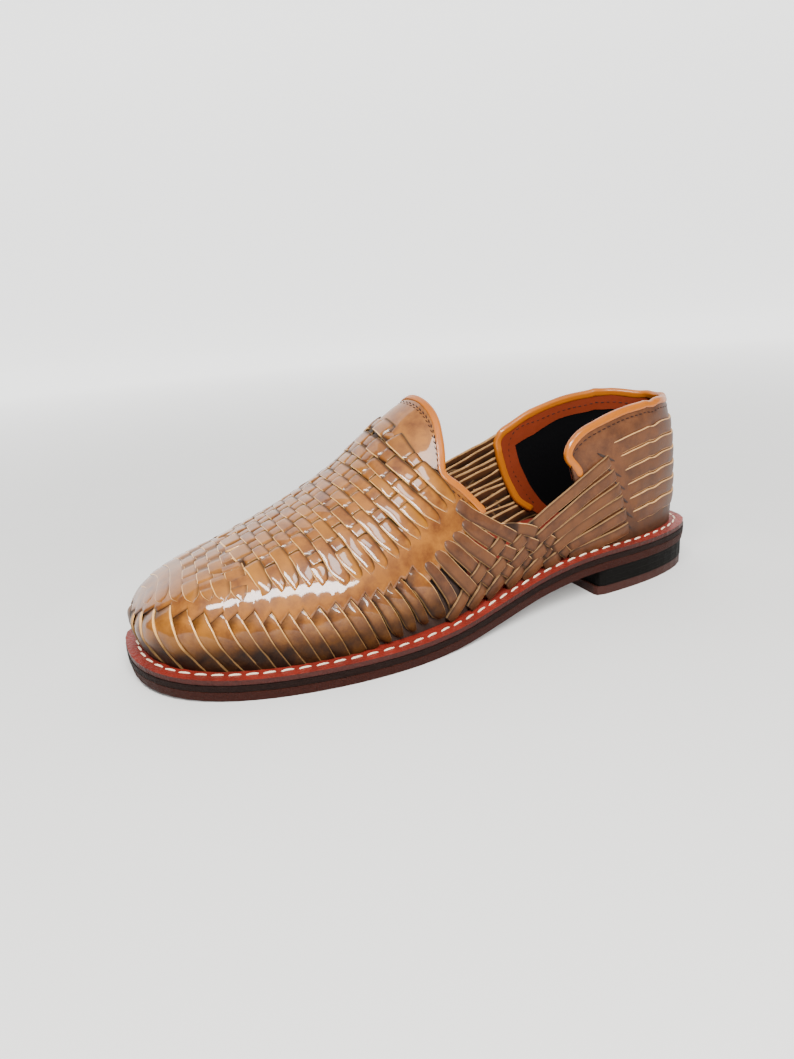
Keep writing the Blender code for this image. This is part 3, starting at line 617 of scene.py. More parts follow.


# Polished leather: patches of two browns, some straps yellower, pale where cut, with painted shade laid on.
# Its coat fades under the painted shade. Tone, Cut and the shade value are values that each point of a strap
# carries.
def buildPolishedGroup():
    tree, given, result = newGroup(
        "polished_leather",
        ["Vector", "Tone", "Cut", "Stain", "Light", "Dark", "Yellow", "Edge", "Shaded", "Dull", "Polish"],
        ["Color", "Roughness", "Coat", "Height"],
        colours=("Light", "Dark", "Yellow", "Edge", "Shaded", "Color"), vectors=("Vector",))
    place, stain, cut = given["Vector"], given["Stain"], given["Cut"]
    fine, cloud = noise(tree, place, 420.0, 4.0), noise(tree, place, 110.0, 5.0, 0.65)
    patch, scuff = noise(tree, place, 38.0, 4.0), noise(tree, place, 55.0, 6.0, 0.75)
    base = mixColour(tree, mapRange(tree, cloud, 0.32, 0.62), given["Dark"], given["Light"])
    base = mixColour(tree, mapRange(tree, given["Tone"], 0.5, 0.9, 0.0, 0.7), base, given["Yellow"])
    base = mixColour(tree, mapRange(tree, patch, 0.48, 0.72, 0.0, 0.45), base, given["Dark"])
    # painted shade: the colour is drawn towards the darkest colour by the shade value
    shadeAmount = maths(tree, "MULTIPLY", stain, mapRange(tree, cloud, 0.25, 0.7, 1.08, 0.9), clamp=True)
    base = mixColour(tree, shadeAmount, base, given["Shaded"])
    pale = maths(tree, "MULTIPLY", mapRange(tree, cut, 0.3, 0.75), mapRange(tree, fine, 0.2, 0.5, 0.55, 1.0))
    pale = maths(tree, "MULTIPLY", pale, mapRange(tree, stain, 0.2, 0.9, 1.0, 0.15))
    base = mixColour(tree, pale, base, given["Edge"])
    base = mixColour(tree, mapRange(tree, scuff, 0.68, 0.8, 0.0, 0.35), base, given["Edge"])
    rough = maths(tree, "ADD", given["Dull"], mapRange(tree, cloud, 0.3, 0.7, -0.05, 0.09))
    rough = maths(tree, "ADD", rough, maths(tree, "MULTIPLY", cut, 0.25))
    rough = maths(tree, "ADD", rough, mapRange(tree, scuff, 0.6, 0.8, 0.0, 0.15), clamp=True)
    coat = maths(tree, "MULTIPLY", given["Polish"], mapRange(tree, stain, 0.1, 0.8, 1.0, 0.0))
    pore = node(tree, "TexVoronoi", {"Vector": place, "Scale": 1300.0}).outputs["Distance"]
    height = maths(tree, "ADD", maths(tree, "MULTIPLY", pore, 0.3), noise(tree, place, 240.0, 6.0, 0.7))
    feed(tree, result, {"Color": base, "Roughness": rough, "Coat": coat, "Height": height})
    return tree


# the glazed leather of the vamp and the drier one of the sides, in sRGB from 0 to 255; the darkest is the
# painted shade's colour
leather = {
    "vamp": {"Light": (134, 81, 21), "Dark": (86, 44, 13), "Yellow": (146, 92, 10), "Edge": (212, 162, 98),
             "Shaded": (22, 9, 3), "Dull": 0.50, "Polish": 0.85, "grain": 0.045},
    "side": {"Light": (88, 52, 28), "Dark": (60, 34, 19), "Yellow": (94, 58, 30), "Edge": (180, 138, 90),
             "Shaded": (24, 12, 6), "Dull": 0.52, "Polish": 0.12, "grain": 0.14},
}


# a polished leather with its own colours and gloss
def polishedLeather(name, settings):
    material, tree, shader = newMaterial(name)
    values = {key: linear(*k) if isinstance(k, tuple) else k for key, k in settings.items() if key != "grain"}
    values["Vector"] = node(tree, "TexCoord").outputs["Object"]
    for key in ("Tone", "Cut", "Stain"):
        values[key] = node(tree, "Attribute", attribute_name=key.lower()).outputs["Fac"]
    made = useGroup(tree, polishedGroup, values)
    bump = node(tree, "Bump", {"Height": made["Height"], "Strength": settings["grain"], "Distance": 0.0006})
    feed(tree, shader.inputs, {
        "Base Color": made["Color"], "Roughness": made["Roughness"], "Coat Weight": made["Coat"],
        "Coat Roughness": 0.065, "Coat IOR": 1.5, "Specular IOR Level": 0.2, "Normal": bump.outputs[0]})
    return material


# the unlit leather between and under the straps
def shadowLeather(name):
    material, tree, shader = newMaterial(name)
    place = node(tree, "TexCoord").outputs["Object"]
    colour = mixColour(tree, noise(tree, place, 200.0), linear(46, 24, 12), linear(26, 13, 6))
    feed(tree, shader.inputs, {"Base Color": colour, "Roughness": 0.8})
    return material


# Leather dyed through, with its own rubbed patches and fine creases. Faces that look sideways, such as the
# edge of a sole, take the edge colour.
def buildDyedGroup():
    tree, given, result = newGroup(
        "dyed_leather", ["Vector", "Normal", "Scale", "Color", "Dark", "Edge", "Dull"],
        ["Color", "Roughness", "Height"],
        colours=("Color", "Dark", "Edge"), vectors=("Vector", "Normal"))
    upwards = node(tree, "SeparateXYZ", {0: given["Normal"]}).outputs[2]
    cloud = noise(tree, given["Vector"], given["Scale"], 5.0, 0.62)
    fine = noise(tree, given["Vector"], maths(tree, "MULTIPLY", given["Scale"], 9.0), 4.0, 0.6)
    base = mixColour(tree, mapRange(tree, cloud, 0.32, 0.7), given["Dark"], given["Color"])
    base = mixColour(tree, mapRange(tree, upwards, 0.85, 0.45), base, given["Edge"])
    feed(tree, result, {
        "Color": mixColour(tree, mapRange(tree, fine, 0.55, 0.8, 0.0, 0.35), base, given["Dark"]),
        "Roughness": maths(tree, "ADD", given["Dull"], mapRange(tree, fine, 0.3, 0.7, -0.08, 0.12)),
        "Height": maths(tree, "ADD", fine, maths(tree, "MULTIPLY", cloud, 0.5))})
    return tree


# A dyed leather, cloth or thread. "layers" is the height of one layer of a stack in metres, "stretch" draws
# the pattern out, "shine" is the shader's specular level and "relief" the depth of the grain in metres.
def dyedLeather(name, colour, dark, edge, rough, grain, coat=0.0, stretch=(1, 1, 1), scale=60.0, layers=0.0,
                shine=0.2, relief=0.0006):
    material, tree, shader = newMaterial(name)
    place = node(tree, "TexCoord").outputs["Object"]
    made = useGroup(tree, dyedGroup, {
        "Vector": node(tree, "Mapping", {"Vector": place, "Scale": stretch}).outputs[0],
        "Normal": node(tree, "TexCoord").outputs["Normal"], "Scale": scale, "Color": linear(*colour),
        "Dark": linear(*dark), "Edge": linear(*edge), "Dull": rough})
    height = made["Height"]
    if layers:
        z = node(tree, "SeparateXYZ", {0: place}).outputs[2]
        line = maths(tree, "ABSOLUTE", maths(tree, "SINE", maths(tree, "MULTIPLY", z, math.pi / layers)))
        height = maths(tree, "ADD", height, mapRange(tree, line, 0.0, 0.18, -1.2, 0.0))
    bump = node(tree, "Bump", {"Height": height, "Strength": grain, "Distance": relief})
    feed(tree, shader.inputs, {
        "Base Color": made["Color"], "Roughness": made["Roughness"], "Specular IOR Level": shine,
        "Coat Weight": coat, "Coat Roughness": 0.13, "Normal": bump.outputs[0]})
    return material


# what each dyed finish has of its own
finishes = {
    "welt_leather": dict(colour=(124, 35, 24), dark=(90, 26, 18), edge=(54, 20, 15), rough=0.5, grain=0.8,
                         coat=0.08, relief=0.0012),
    "insole_leather": dict(colour=(120, 40, 31), dark=(92, 29, 22), edge=(80, 26, 20), rough=0.5, grain=0.2),
    "midsole_edge": dict(colour=(34, 17, 12), dark=(20, 10, 8), edge=(28, 14, 10), rough=0.6, grain=1.0,
                         shine=0.1, relief=0.0014, stretch=(1, 1, 2), scale=130.0, layers=0.0013),
    "outsole_edge": dict(colour=(76, 36, 22), dark=(40, 17, 11), edge=(50, 20, 13), rough=0.6, grain=1.0,
                         shine=0.1, relief=0.0014, stretch=(1, 1, 1.5), scale=130.0),
    "heel_stack": dict(colour=(10, 9, 8), dark=(5, 5, 4), edge=(9, 8, 7), rough=0.6, grain=0.35,
                       shine=0.06, stretch=(1, 1, 5), layers=0.003),
    "lift_edge": dict(colour=(62, 30, 20), dark=(36, 16, 12), edge=(50, 22, 16), rough=0.55, grain=0.5,
                      stretch=(1, 1, 4)),
    "binding_leather": dict(colour=(158, 86, 6), dark=(134, 70, 5), edge=(152, 82, 6), rough=0.5, grain=0.10,
                            coat=0.45),
    "facing_leather": dict(colour=(112, 44, 22), dark=(80, 28, 12), edge=(104, 40, 20), rough=0.45,
                           grain=0.2, coat=0.08),
    "lining_cloth": dict(colour=(9, 9, 10), dark=(5, 5, 6), edge=(8, 8, 9), rough=0.9, grain=0.3, shine=0.02),
    "welt_thread": dict(colour=(228, 212, 190), dark=(190, 168, 140), edge=(222, 204, 180), rough=0.6,
                        grain=0.2, scale=300.0),
    "dark_thread": dict(colour=(40, 18, 9), dark=(24, 10, 5), edge=(36, 16, 8), rough=0.55, grain=0.2,
                        scale=300.0),
}

polishedGroup, dyedGroup = buildPolishedGroup(), buildDyedGroup()
finish = {key: dyedLeather(key, **values) for key, values in finishes.items()}
finish["vamp_leather"] = polishedLeather("vamp_leather", leather["vamp"])
finish["side_leather"] = polishedLeather("side_leather", leather["side"])
finish["weave_shadow"] = shadowLeather("weave_shadow")
print("materials:", ", ".join(finish))


# The woven vamp: r along the shoe, c over the crown from the middle line, positive on the lateral side,
# and t up from the foot.
weave = {
    "cover": 1.24, "crossThick": 1.0, "crossPad": 0.32, "crossUp": 0.35, "crossUnder": -0.85,
    "lengthWide": 2.65, "lengthThick": 0.9, "lengthPad": 0.14, "lengthUp": 0.35, "lengthUnder": -0.8,
    "windowHalf": 2.75, "softness": 1.1, "wobble": 0.04,
    # each lengthwise row's distance from the middle line at r = -100 and at r = -20
    "rows": np.array([(45.5, 47.3), (34.8, 36.4), (28.4, 25.2), (20.6, 16.6), (12.6, 8.2), (4.5, 0.0),
                      (-3.6, -8.2), (-11.7, -16.6), (-20.2, -25.4), (-28.2, -36.2), (-35.5, -47.0)]),
    # where the outer rows start and stop, as r; the others start on a curve and stop at lengthStop
    "starts": {0: -76.0, 1: -97.0, 9: -97.0, 10: -76.0},
    "stops": {0: -6.0, 1: -9.0, 2: -13.0, 3: -16.0, 7: -16.0, 8: -13.0, 9: -9.0, 10: -6.0},
    "lengthStop": -14.0,
}
# cross straps, lateral side: tip (r, t), middle at the end of the first pad (r, t), middle at the
# second pad (r, t), and r at the middle line; counted from the toe, even ones dive under odd rows
crossStraps = np.array([
    (-91.4, 30.6, -92.0, 41.5, -93.8, 53.0, -95.7), (-85.7, 30.6, -87.1, 45.0, -89.5, 60.0, -91.0),
    (-80.6, 30.6, -81.4, 44.7, -83.8, 55.3, -86.0), (-74.8, 30.6, -74.6, 40.0, -77.2, 52.0, -81.0),
    (-69.3, 30.6, -69.6, 43.0, -73.4, 59.5, -76.3), (-59.6, 28.6, -62.8, 41.0, -66.2, 54.4, -71.6),
    (-53.4, 29.5, -58.4, 46.0, -63.5, 65.0, -66.8), (-47.6, 31.0, -52.0, 46.5, -56.9, 59.4, -62.1),
    (-40.8, 32.4, -47.6, 48.5, -54.4, 69.4, -57.4), (-34.7, 35.7, -41.8, 50.5, -47.2, 63.0, -52.7),
    (-28.3, 37.2, -37.8, 54.5, -44.6, 74.4, -47.8), (-22.9, 40.8, -31.0, 54.5, -37.2, 67.0, -42.9),
    (-18.0, 44.0, -27.5, 59.0, -35.0, 79.0, -38.0), (-11.8, 45.0, -21.5, 59.5, -28.5, 72.0, -33.0),
    (-7.0, 48.2, -16.2, 62.5, -24.6, 80.0, -28.3), (-2.3, 50.8, -8.9, 62.5, -16.5, 77.0, -20.2)])
# the pointed end of a cross strap: distance from its tip, shares of its half width on its front and rear
# edges, and height of its underside
crossEnd = np.array([
    (0.0, 0.05, 0.06, -0.7), (1.6, 0.24, 0.45, -0.05), (3.5, 0.46, 0.78, 0.22), (6.5, 0.76, 0.93, 0.34),
    (10.5, 0.97, 1.0, 0.35), (15.0, 1.0, 1.0, 0.35)])
# cross straps in front of those, seen from above: end (x, y) at the band, and y at the middle
toeCrossStraps = np.array([
    (2.5, -121.5, -118.2), (7.5, -118.2, -114.6), (11.6, -114.6, -111.4), (15.3, -111.4, -108.3),
    (18.0, -107.6, -105.2), (20.6, -104.2, -102.1), (23.4, -99.9, -99.0)])


# a lengthwise row's distance c from the middle line at r
def rowAt(n, r):
    front, rear = weave["rows"][n]
    return front + (rear - front) * np.clip((r + 100) / 80, -0.3, 1.15)


# where a lengthwise row starts and stops, as r
def rowSpan(n):
    return weave["starts"].get(n, -112.0 + 1.2 * abs(n - 5)), weave["stops"].get(n, weave["lengthStop"])


# how far each place along a strap lies inside the windows centred on some places: 1 inside, 0 outside
def windows(s, places, half, soft):
    return sum((0.5 * (np.tanh((half - np.abs(s - at)) / soft * 2) + 1) for at in places), np.zeros_like(s))


# middle line of a cross strap as places (r, c), from its lateral tip to its medial tip
def crossLine(tipR, tipT, kneeR, kneeT, padR, padT, middleR):
    lateral = [(r, ribLength(r, 1) - t) for r, t in ((tipR, tipT), (kneeR, kneeT), (padR, padT))]
    return lateral + [(middleR, 0.0)] + [(r, -c) for r, c in lateral[::-1]]


crossTracks = [curveThrough(crossLine(*strapPlaces), 240) for strapPlaces in crossStraps]


# the step along a track at which it crosses row n, or None where the track doesn't reach the row
def crossingStepOf(track, n):
    miss = track[:, 1] - rowAt(n, track[:, 0])
    return np.interp(0, -miss, np.arange(len(track))) if miss[0] > 0 > miss[-1] else None


# skin over (r, c)
def crownSkin(r, c):
    plan = crownPlan(r, c)
    return lastPoint(plan[..., 0], plan[..., 1])


# half the distance from cross strap k to its neighbours at c, square to its own lean, so that they touch
def halfPitch(k, c):
    middles = [np.interp(-c, -t[:, 1], t[:, 0]) for t in crossTracks]
    lean = np.abs(np.gradient(middles[k], c)) if len(c) > 2 else 0
    pitches = np.diff(np.array(middles), axis=0)
    near = pitches[max(k - 1, 0):min(k + 1, len(pitches))]
    return np.abs(near).mean(0) / 2 / np.sqrt(1 + np.minimum(lean, 1.2) ** 2)


# Cross straps: each dives under every second row of lengthwise straps and has painted shade where it does.
def buildCrossStraps():
    made = Gather()
    for k, track in enumerate(crossTracks):
        steps = np.arange(len(track))
        run = runAlong(crownSkin(*track.T))
        unders = []
        for n in range(k % 2, len(weave["rows"]), 2):
            step, (start, stop) = crossingStepOf(track, n), rowSpan(n)
            if step is not None and start + 1 < np.interp(step, steps, track[:, 0]) < stop - 1:
                unders.append(np.interp(step, steps, run))
        places = np.r_[crossEnd[:, 0], np.linspace(20, run[-1] - 20, 12), run[-1] - crossEnd[::-1, 0]]
        at = np.stack([np.interp(places, run, column) for column in track.T], -1)
        half = np.clip(halfPitch(k, at[:, 1]) * weave["cover"], 2.3, 4.5)
        front, rear, low = (np.r_[column, np.full(12, column[-1]), column[::-1]] for column in crossEnd.T[1:])
        left = front * half
        if k == 0:      # the first one also fills up to the toe's own straps
            left = np.maximum(left * 1.45, 2.6)
        rows = strapRows(crownPlan(at[:, 0], at[:, 1]), left, rear * half, low + rng.normal(0, 0.12),
                         weave["crossThick"], weave["crossPad"])
        drop = weave["crossUp"] - weave["crossUnder"]
        phase = rng.uniform(0, 6, 4)

        # down by the drop in each window, with two faint waves
        def lift(s, width):
            bumps = 0.10 * np.sin(s / 5.1 + phase[0]) + 0.08 * np.sin(s / 2.3 + phase[1] + width / 2)
            return -drop * windows(s, unders, weave["windowHalf"], weave["softness"]) + bumps

        # a little narrower in each window, with a faint wave
        def wobble(s):
            squeeze = windows(s, unders, weave["windowHalf"] + 0.6, 2.2)
            return -0.06 * squeeze + weave["wobble"] * np.sin(s / 4.0 + phase[2])

        # painted shade in each window, where it dives under a row, and along the rear edge
        def stain(s, across):
            near = windows(s, unders, weave["windowHalf"] + 0.35, 0.7)
            return np.clip(near * (0.8 + 0.2 * np.abs(across)) + 0.95 * rise(across, 0.68, 0.88), 0, 1)

        strap(made, lastPoint, rows, 1, rng.uniform(0.15, 0.85), stain, count=int(run[-1] / 0.8), lift=lift,
              tilt=-0.2, wobble=wobble)
    return made.finish("cross_straps", "upper")


# toe cross straps: share of the half span from the middle line, share of the full width, and height of the
# underside there, towards either end; "last" is the line that the rearmost one reaches back to
toeCross = {
    "lateral": np.array([
        (1.0, 0.05, 0.1), (0.93, 0.62, 0.2), (0.8, 0.97, 0.2), (0.5, 1.0, 0.15), (0.0, 1.0, 0.1)]),
    "medial": np.array([(-0.43, 1.0, 0.15), (-0.69, 0.97, 0.2), (-0.80, 0.62, 0.2), (-0.86, 0.05, 0.1)]),
    "thick": 0.85, "pad": 0.14, "tilt": -0.16, "last": (25.0, -93.2, -95.7),
    # half width as a share of the way to the next one, with its limits; the first dive, how far every second
    # strap's are moved on, the way between dives, and their depth
    "half": 0.62, "limits": (1.8, 4.2), "firstDive": 9.0, "movedOn": 6.2, "nextDive": 12.4, "dive": 0.55,
}


# Toe cross straps: each lies in plan on a curve y = middle + (end - middle) x share to the power 1.5.
def buildToeCrossStraps():
    made = Gather()
    ends = np.vstack([toeCrossStraps, toeCross["last"]])
    shape = np.vstack([toeCross["lateral"], toeCross["medial"]])
    middle = float(crownX(spineToe))
    for k in range(len(toeCrossStraps)):
        half = ends[k, 0] - middle
        x = middle + half * shape[:, 0]
        bow = np.clip(np.abs(x - middle) / half, 0, 1) ** 1.5
        y, nextY = (end[2] + (end[1] - end[2]) * bow for end in ends[k:k + 2])
        pitch = np.linalg.norm(lastPoint(x, nextY) - lastPoint(x, y), axis=-1)
        wide = np.clip(pitch * toeCross["half"], *toeCross["limits"]) * shape[:, 1]
        rows = strapRows(np.c_[x, y], wide, wide, shape[:, 2] + 0.05 * (k % 2), toeCross["thick"],
                         toeCross["pad"])
        phase = rng.uniform(0, 6, 3)
        dives = toeCross["firstDive"] + (k % 2) * toeCross["movedOn"] + toeCross["nextDive"] * np.arange(5)
        unders = [at for at in dives if at < 2.2 * half - 6 and k > 2]

        # down in each window, with a faint wave
        def lift(s, width):
            return -toeCross["dive"] * windows(s, unders, 2.0, 0.9) + 0.06 * np.sin(s / 2.7 + phase[0])

        # half-strength painted shade in each window, and painted shade along the rear edge
        def stain(s, across):
            return 0.5 * windows(s, unders, 2.2, 0.6) + 0.6 * rise(across, 0.62, 0.85)

        strap(made, lastPoint, rows, 1, rng.uniform(0.2, 0.8), stain, lift=lift, tilt=toeCross["tilt"])
    return made.finish("toe_cross_straps", "upper")


# Lengthwise straps: low under the cross straps, and lifted over every second one. The rear end sinks under.
def buildLengthStraps():
    made = Gather()
    for n in range(len(weave["rows"])):
        start, stop = rowSpan(n)
        r = np.linspace(start, stop, 240)
        c = rowAt(n, r) + 0.3 * np.sin(r / 6.0 + n)
        run = runAlong(crownSkin(r, c))
        crossed = [(crossingStepOf(track, n), track) for track in crossTracks[n % 2::2]]
        crossed = [np.interp(step, np.arange(len(track)), track[:, 0])
                   for step, track in crossed if step is not None]
        crossed = [at for at in crossed if start < at < stop]
        crossed += [y for y in toeCrossStraps[(n + 1) % 2::2, 2] if y > start]
        overs = [np.interp(at, r, run) for at in crossed]
        pick = np.linspace(0, len(r) - 1, 22).astype(int)
        wide = weave["lengthWide"] * np.interp(r[pick], [-105, -80, -50], [0.8, 0.9, 1.0])
        rows = strapRows(crownPlan(r[pick], c[pick]), wide, wide, weave["lengthUnder"], weave["lengthThick"],
                         weave["lengthPad"])
        height = weave["lengthUp"] - weave["lengthUnder"]
        phase = rng.uniform(0, 6)

        # up in each window, sunk at the rear end, with a faint wave
        def lift(s, width):
            up = np.clip(windows(s, overs, 3.1, 1.3), 0, 1)
            sunk = np.clip((run[-1] - 1.5 - s) / 4.0, 0, 1)
            return height * up * sunk - 0.7 * (1 - sunk) + 0.05 * np.sin(s / 3.0 + phase)

        # painted shade outside the windows, where it lies under the cross straps, and along both edges
        def stain(s, across):
            hidden = 0.95 - 0.95 * windows(s, overs, 2.6, 0.5)
            return np.clip(hidden + 0.9 * rise(np.abs(across), 0.82, 0.95), 0, 1)

        strap(made, lastPoint, rows, 1, rng.uniform(0.3, 0.7), stain, count=int(run[-1] / 0.7), lift=lift)
    return made.finish("length_straps", "upper")


# The smooth band round the toe.
band = {
    # place w round the shoe from the toe's tip, and its lower and upper edge in millimetres up from the foot
    "edges": np.array([
        (0.0, 13.0, 44.5), (11.0, 15.8, 46.0), (18.5, 18.5, 48.0), (26.0, 20.2, 49.3), (32.0, 20.5, 48.9),
        (38.0, 19.8, 48.3), (43.5, 19.0, 47.4), (49.0, 17.7, 47.0), (53.0, 17.0, 45.5),
        (57.0, 16.2, 43.0), (62.0, 15.7, 40.5), (72.0, 15.0, 39.5), (86.0, 15.5, 40.0),
        (96.0, 15.5, 41.0), (106.0, 17.0, 44.0), (116.0, 19.0, 49.0), (126.0, 22.0, 54.0),
        (136.0, 27.0, 57.5), (146.0, 32.0, 60.0), (150.0, 35.0, 55.5), (154.0, 37.5, 50.5),
        (158.0, 39.0, 45.5), (161.0, 39.2, 41.5), (163.0, 39.0, 39.8)]),
    "height": 0.95, "thick": 1.1, "tooth": (4.3, 4.6), "firstBottom": (0.0, 16.5),
}


# Places round the shoe, and the band's lower and upper edge there. The lower edge is a saw line round the
# toe, whose top corners are the tips of the toe straps, and eases into a smooth line behind the last one.
def bandEdges():
    tips = np.array([line[0] for line in toeStraps])
    bottoms = tips - band["tooth"]
    bottoms[0] = band["firstBottom"]
    saw = np.empty((2 * len(tips), 2))
    saw[0::2], saw[1::2] = bottoms, tips
    edges = band["edges"]
    w = np.unique(np.r_[np.linspace(0, edges[-1, 0], 300), saw[:, 0], saw[:, 0] + 0.25])
    w = w[w <= edges[-1, 0]]
    lower, upper = (smoothTable(w, edges[:, 0], edges[:, k]) for k in (1, 2))
    cut = np.interp(w, *saw.T)
    share = np.clip((w - saw[-1, 0]) / 5.0, 0, 1)
    lower = np.where(w < saw[-1, 0], cut, cut * (1 - share) + lower * share)
    return [np.r_[k[:0:-1] * sign, k] for k, sign in ((w, -1), (lower, 1), (upper, 1))]


# The band's height off the last is a dome, less a roll at each edge that fades as exp(-distance / length),
# plus soft hollows along it and a slight pucker behind each tooth.
def buildBand():
    made = Gather()
    w, lower, upper = bandEdges()
    share = np.r_[0, 0.012, 0.03, 0.06, 0.10, 0.15, np.linspace(0.2, 0.86, 15), 0.91, 0.95, 0.98, 1.0]
    t = lower[:, None] + (upper - lower)[:, None] * share
    w = np.broadcast_to(w[:, None], t.shape)
    on, out = roundSkin(w, t), skinNormal(roundSkin, w, t, 0.4)
    fromLower, fromUpper = t - lower[:, None], upper[:, None] - t
    toothed = np.clip((140.0 - np.abs(w)) / 8.0, 0, 1)
    lowerRoll = (0.55 + 0.9 * (1 - toothed)) * np.exp(-fromLower / (0.55 + 1.5 * (1 - toothed)))
    soft = 0.12 * np.sin(w / 13.0 + 1.0) + 0.02 * np.sin(w / 4.7 + share * 2.0)
    soft -= 0.10 * np.exp(-fromLower / 4.0) * np.cos(w / 6.6 * 2 * np.pi)
    h = band["height"] - lowerRoll - 1.1 * np.exp(-fromUpper / 2.2) + soft * np.sin(share * np.pi)
    # painted shade: dark along the toothed lower edge, where the toe straps go under, and faintly along the
    # upper edge
    stain = 0.95 * np.exp(-fromLower / 0.45) * toothed + 0.25 * np.exp(-fromUpper / 1.2)
    slab(made, on + out * h[..., None], on + out * (h - band["thick"])[..., None], cut=0.0, tone=0.5,
         stain=stain, along=w * 0.001, across=t * 0.001)
    return made.finish("vamp_band", "upper")


# The dark base under the weave, between two places w, set in from the last by two depths. On the medial
# side, behind the band's end, the top row tells how high it may reach at w.
base = {"first": -158.0, "last": 149.0, "outer": 1.35, "inner": 2.3,
        "medialTop": np.array([(148.5, 74.0), (149.5, 55.0), (163.0, 38.8)])}


# the dark base, coloured as painted shade under the weave, up to the crown line or to its own top
def buildBase():
    made = Gather()
    w = np.linspace(base["first"], base["last"], 258)
    length, top = ribLength(toeEnd + np.abs(w), 1), base["medialTop"]
    length = np.where(w < -top[0, 0], np.minimum(length, np.interp(-w, *top.T)), length)
    t = length[:, None] * np.linspace(0, 0.997, 46)
    w = w[:, None] * (1 - 0.028 * (w[:, None] > 0) * rise(t, 54.0, 64.0))
    on, out = roundSkin(w, t), skinNormal(roundSkin, w, t, 0.4)
    out[:, -1] = out[:, -2]
    slab(made, on - out * base["outer"], on - out * base["inner"], cut=0.0, tone=0.5, along=w * 0.001,
         across=t * 0.001)
    return made.finish("weave_base", "upper", replacing="upper")


# Straps round the toe, under the band: the rear edge of each, from its tip down to the welt, as (w, t) with
# w round the shoe from the toe's tip.
toeStraps = [
    [(3.6, 19.5), (6.0, 14.0), (8.5, 6.5), (10.0, -0.5)],
    [(9.7, 22.0), (13.5, 16.5), (17.5, 8.5), (20.5, -0.5)],
    [(16.1, 25.6), (20.8, 18.5), (24.5, 9.5), (27.5, -0.5)],
    [(23.2, 29.2), (27.2, 21.0), (29.5, 13.5), (33.0, 5.5), (35.5, -0.5)],
    [(30.5, 28.0), (33.6, 20.8), (36.0, 13.0), (39.8, 5.0), (42.0, -0.5)],
    [(36.3, 26.5), (39.0, 19.5), (41.0, 12.5), (44.2, 5.0), (46.6, -0.5)],
    [(42.7, 26.2), (44.5, 18.2), (47.0, 11.0), (49.9, 4.2), (52.0, -0.5)],
    [(47.0, 25.4), (49.4, 17.4), (52.0, 9.5), (54.6, 3.5), (56.6, -0.5)],
    [(51.9, 25.6), (54.2, 17.2), (57.0, 9.9), (60.4, 3.4), (62.4, -0.5)],
    [(57.7, 24.1), (60.9, 15.1), (64.0, 8.0), (67.2, 2.0), (68.6, -0.5)],
    [(64.4, 22.9), (67.9, 14.8), (71.6, 6.6), (74.8, -0.5)],
    [(70.3, 23.4), (74.0, 15.2), (77.8, 7.0), (80.8, -0.5)],
    [(76.9, 23.2), (80.6, 15.3), (84.4, 7.0), (87.2, -0.5)],
    [(83.8, 23.9), (87.2, 17.2), (90.7, 9.4), (94.3, 1.4)],
    [(90.4, 23.9), (93.8, 17.6), (97.2, 9.6), (100.4, 1.4)],
    [(97.0, 25.0), (100.2, 18.6), (103.6, 9.8), (106.2, 1.8)],
    [(102.6, 25.4), (106.6, 18.6), (110.2, 10.8), (112.0, 2.4)],
    [(108.9, 26.6), (113.0, 19.6), (116.6, 12.0), (118.6, 3.2)],
    [(113.9, 27.8), (118.2, 21.0), (121.8, 14.0), (125.0, 4.6)],
    [(120.2, 30.9), (124.9, 25.4), (129.2, 18.6), (132.2, 11.2), (134.4, 4.4)]]
toeStrap = {
    "first": [(-2.4, 17.5), (-6.9, 14.0), (-9.15, 6.5), (-10.5, -0.5)],     # front edge of the first one
    # width as a share of the way to the one before, length of the tip, and which one the side's first is
    "cover": 0.93, "tip": 2.6, "side": 13, "thick": 0.95,
    "pads": (0.35, 0.6), "tilts": (0.48, 0.34),     # padding and tilt round the toe, and along the side
}
# how far each stays clear of the one before it
toeStrapGap = np.interp(np.arange(len(toeStraps)), [0, 12, 14, 16, 19], [-1.3, -1.1, -0.4, 0.5, 0.8])


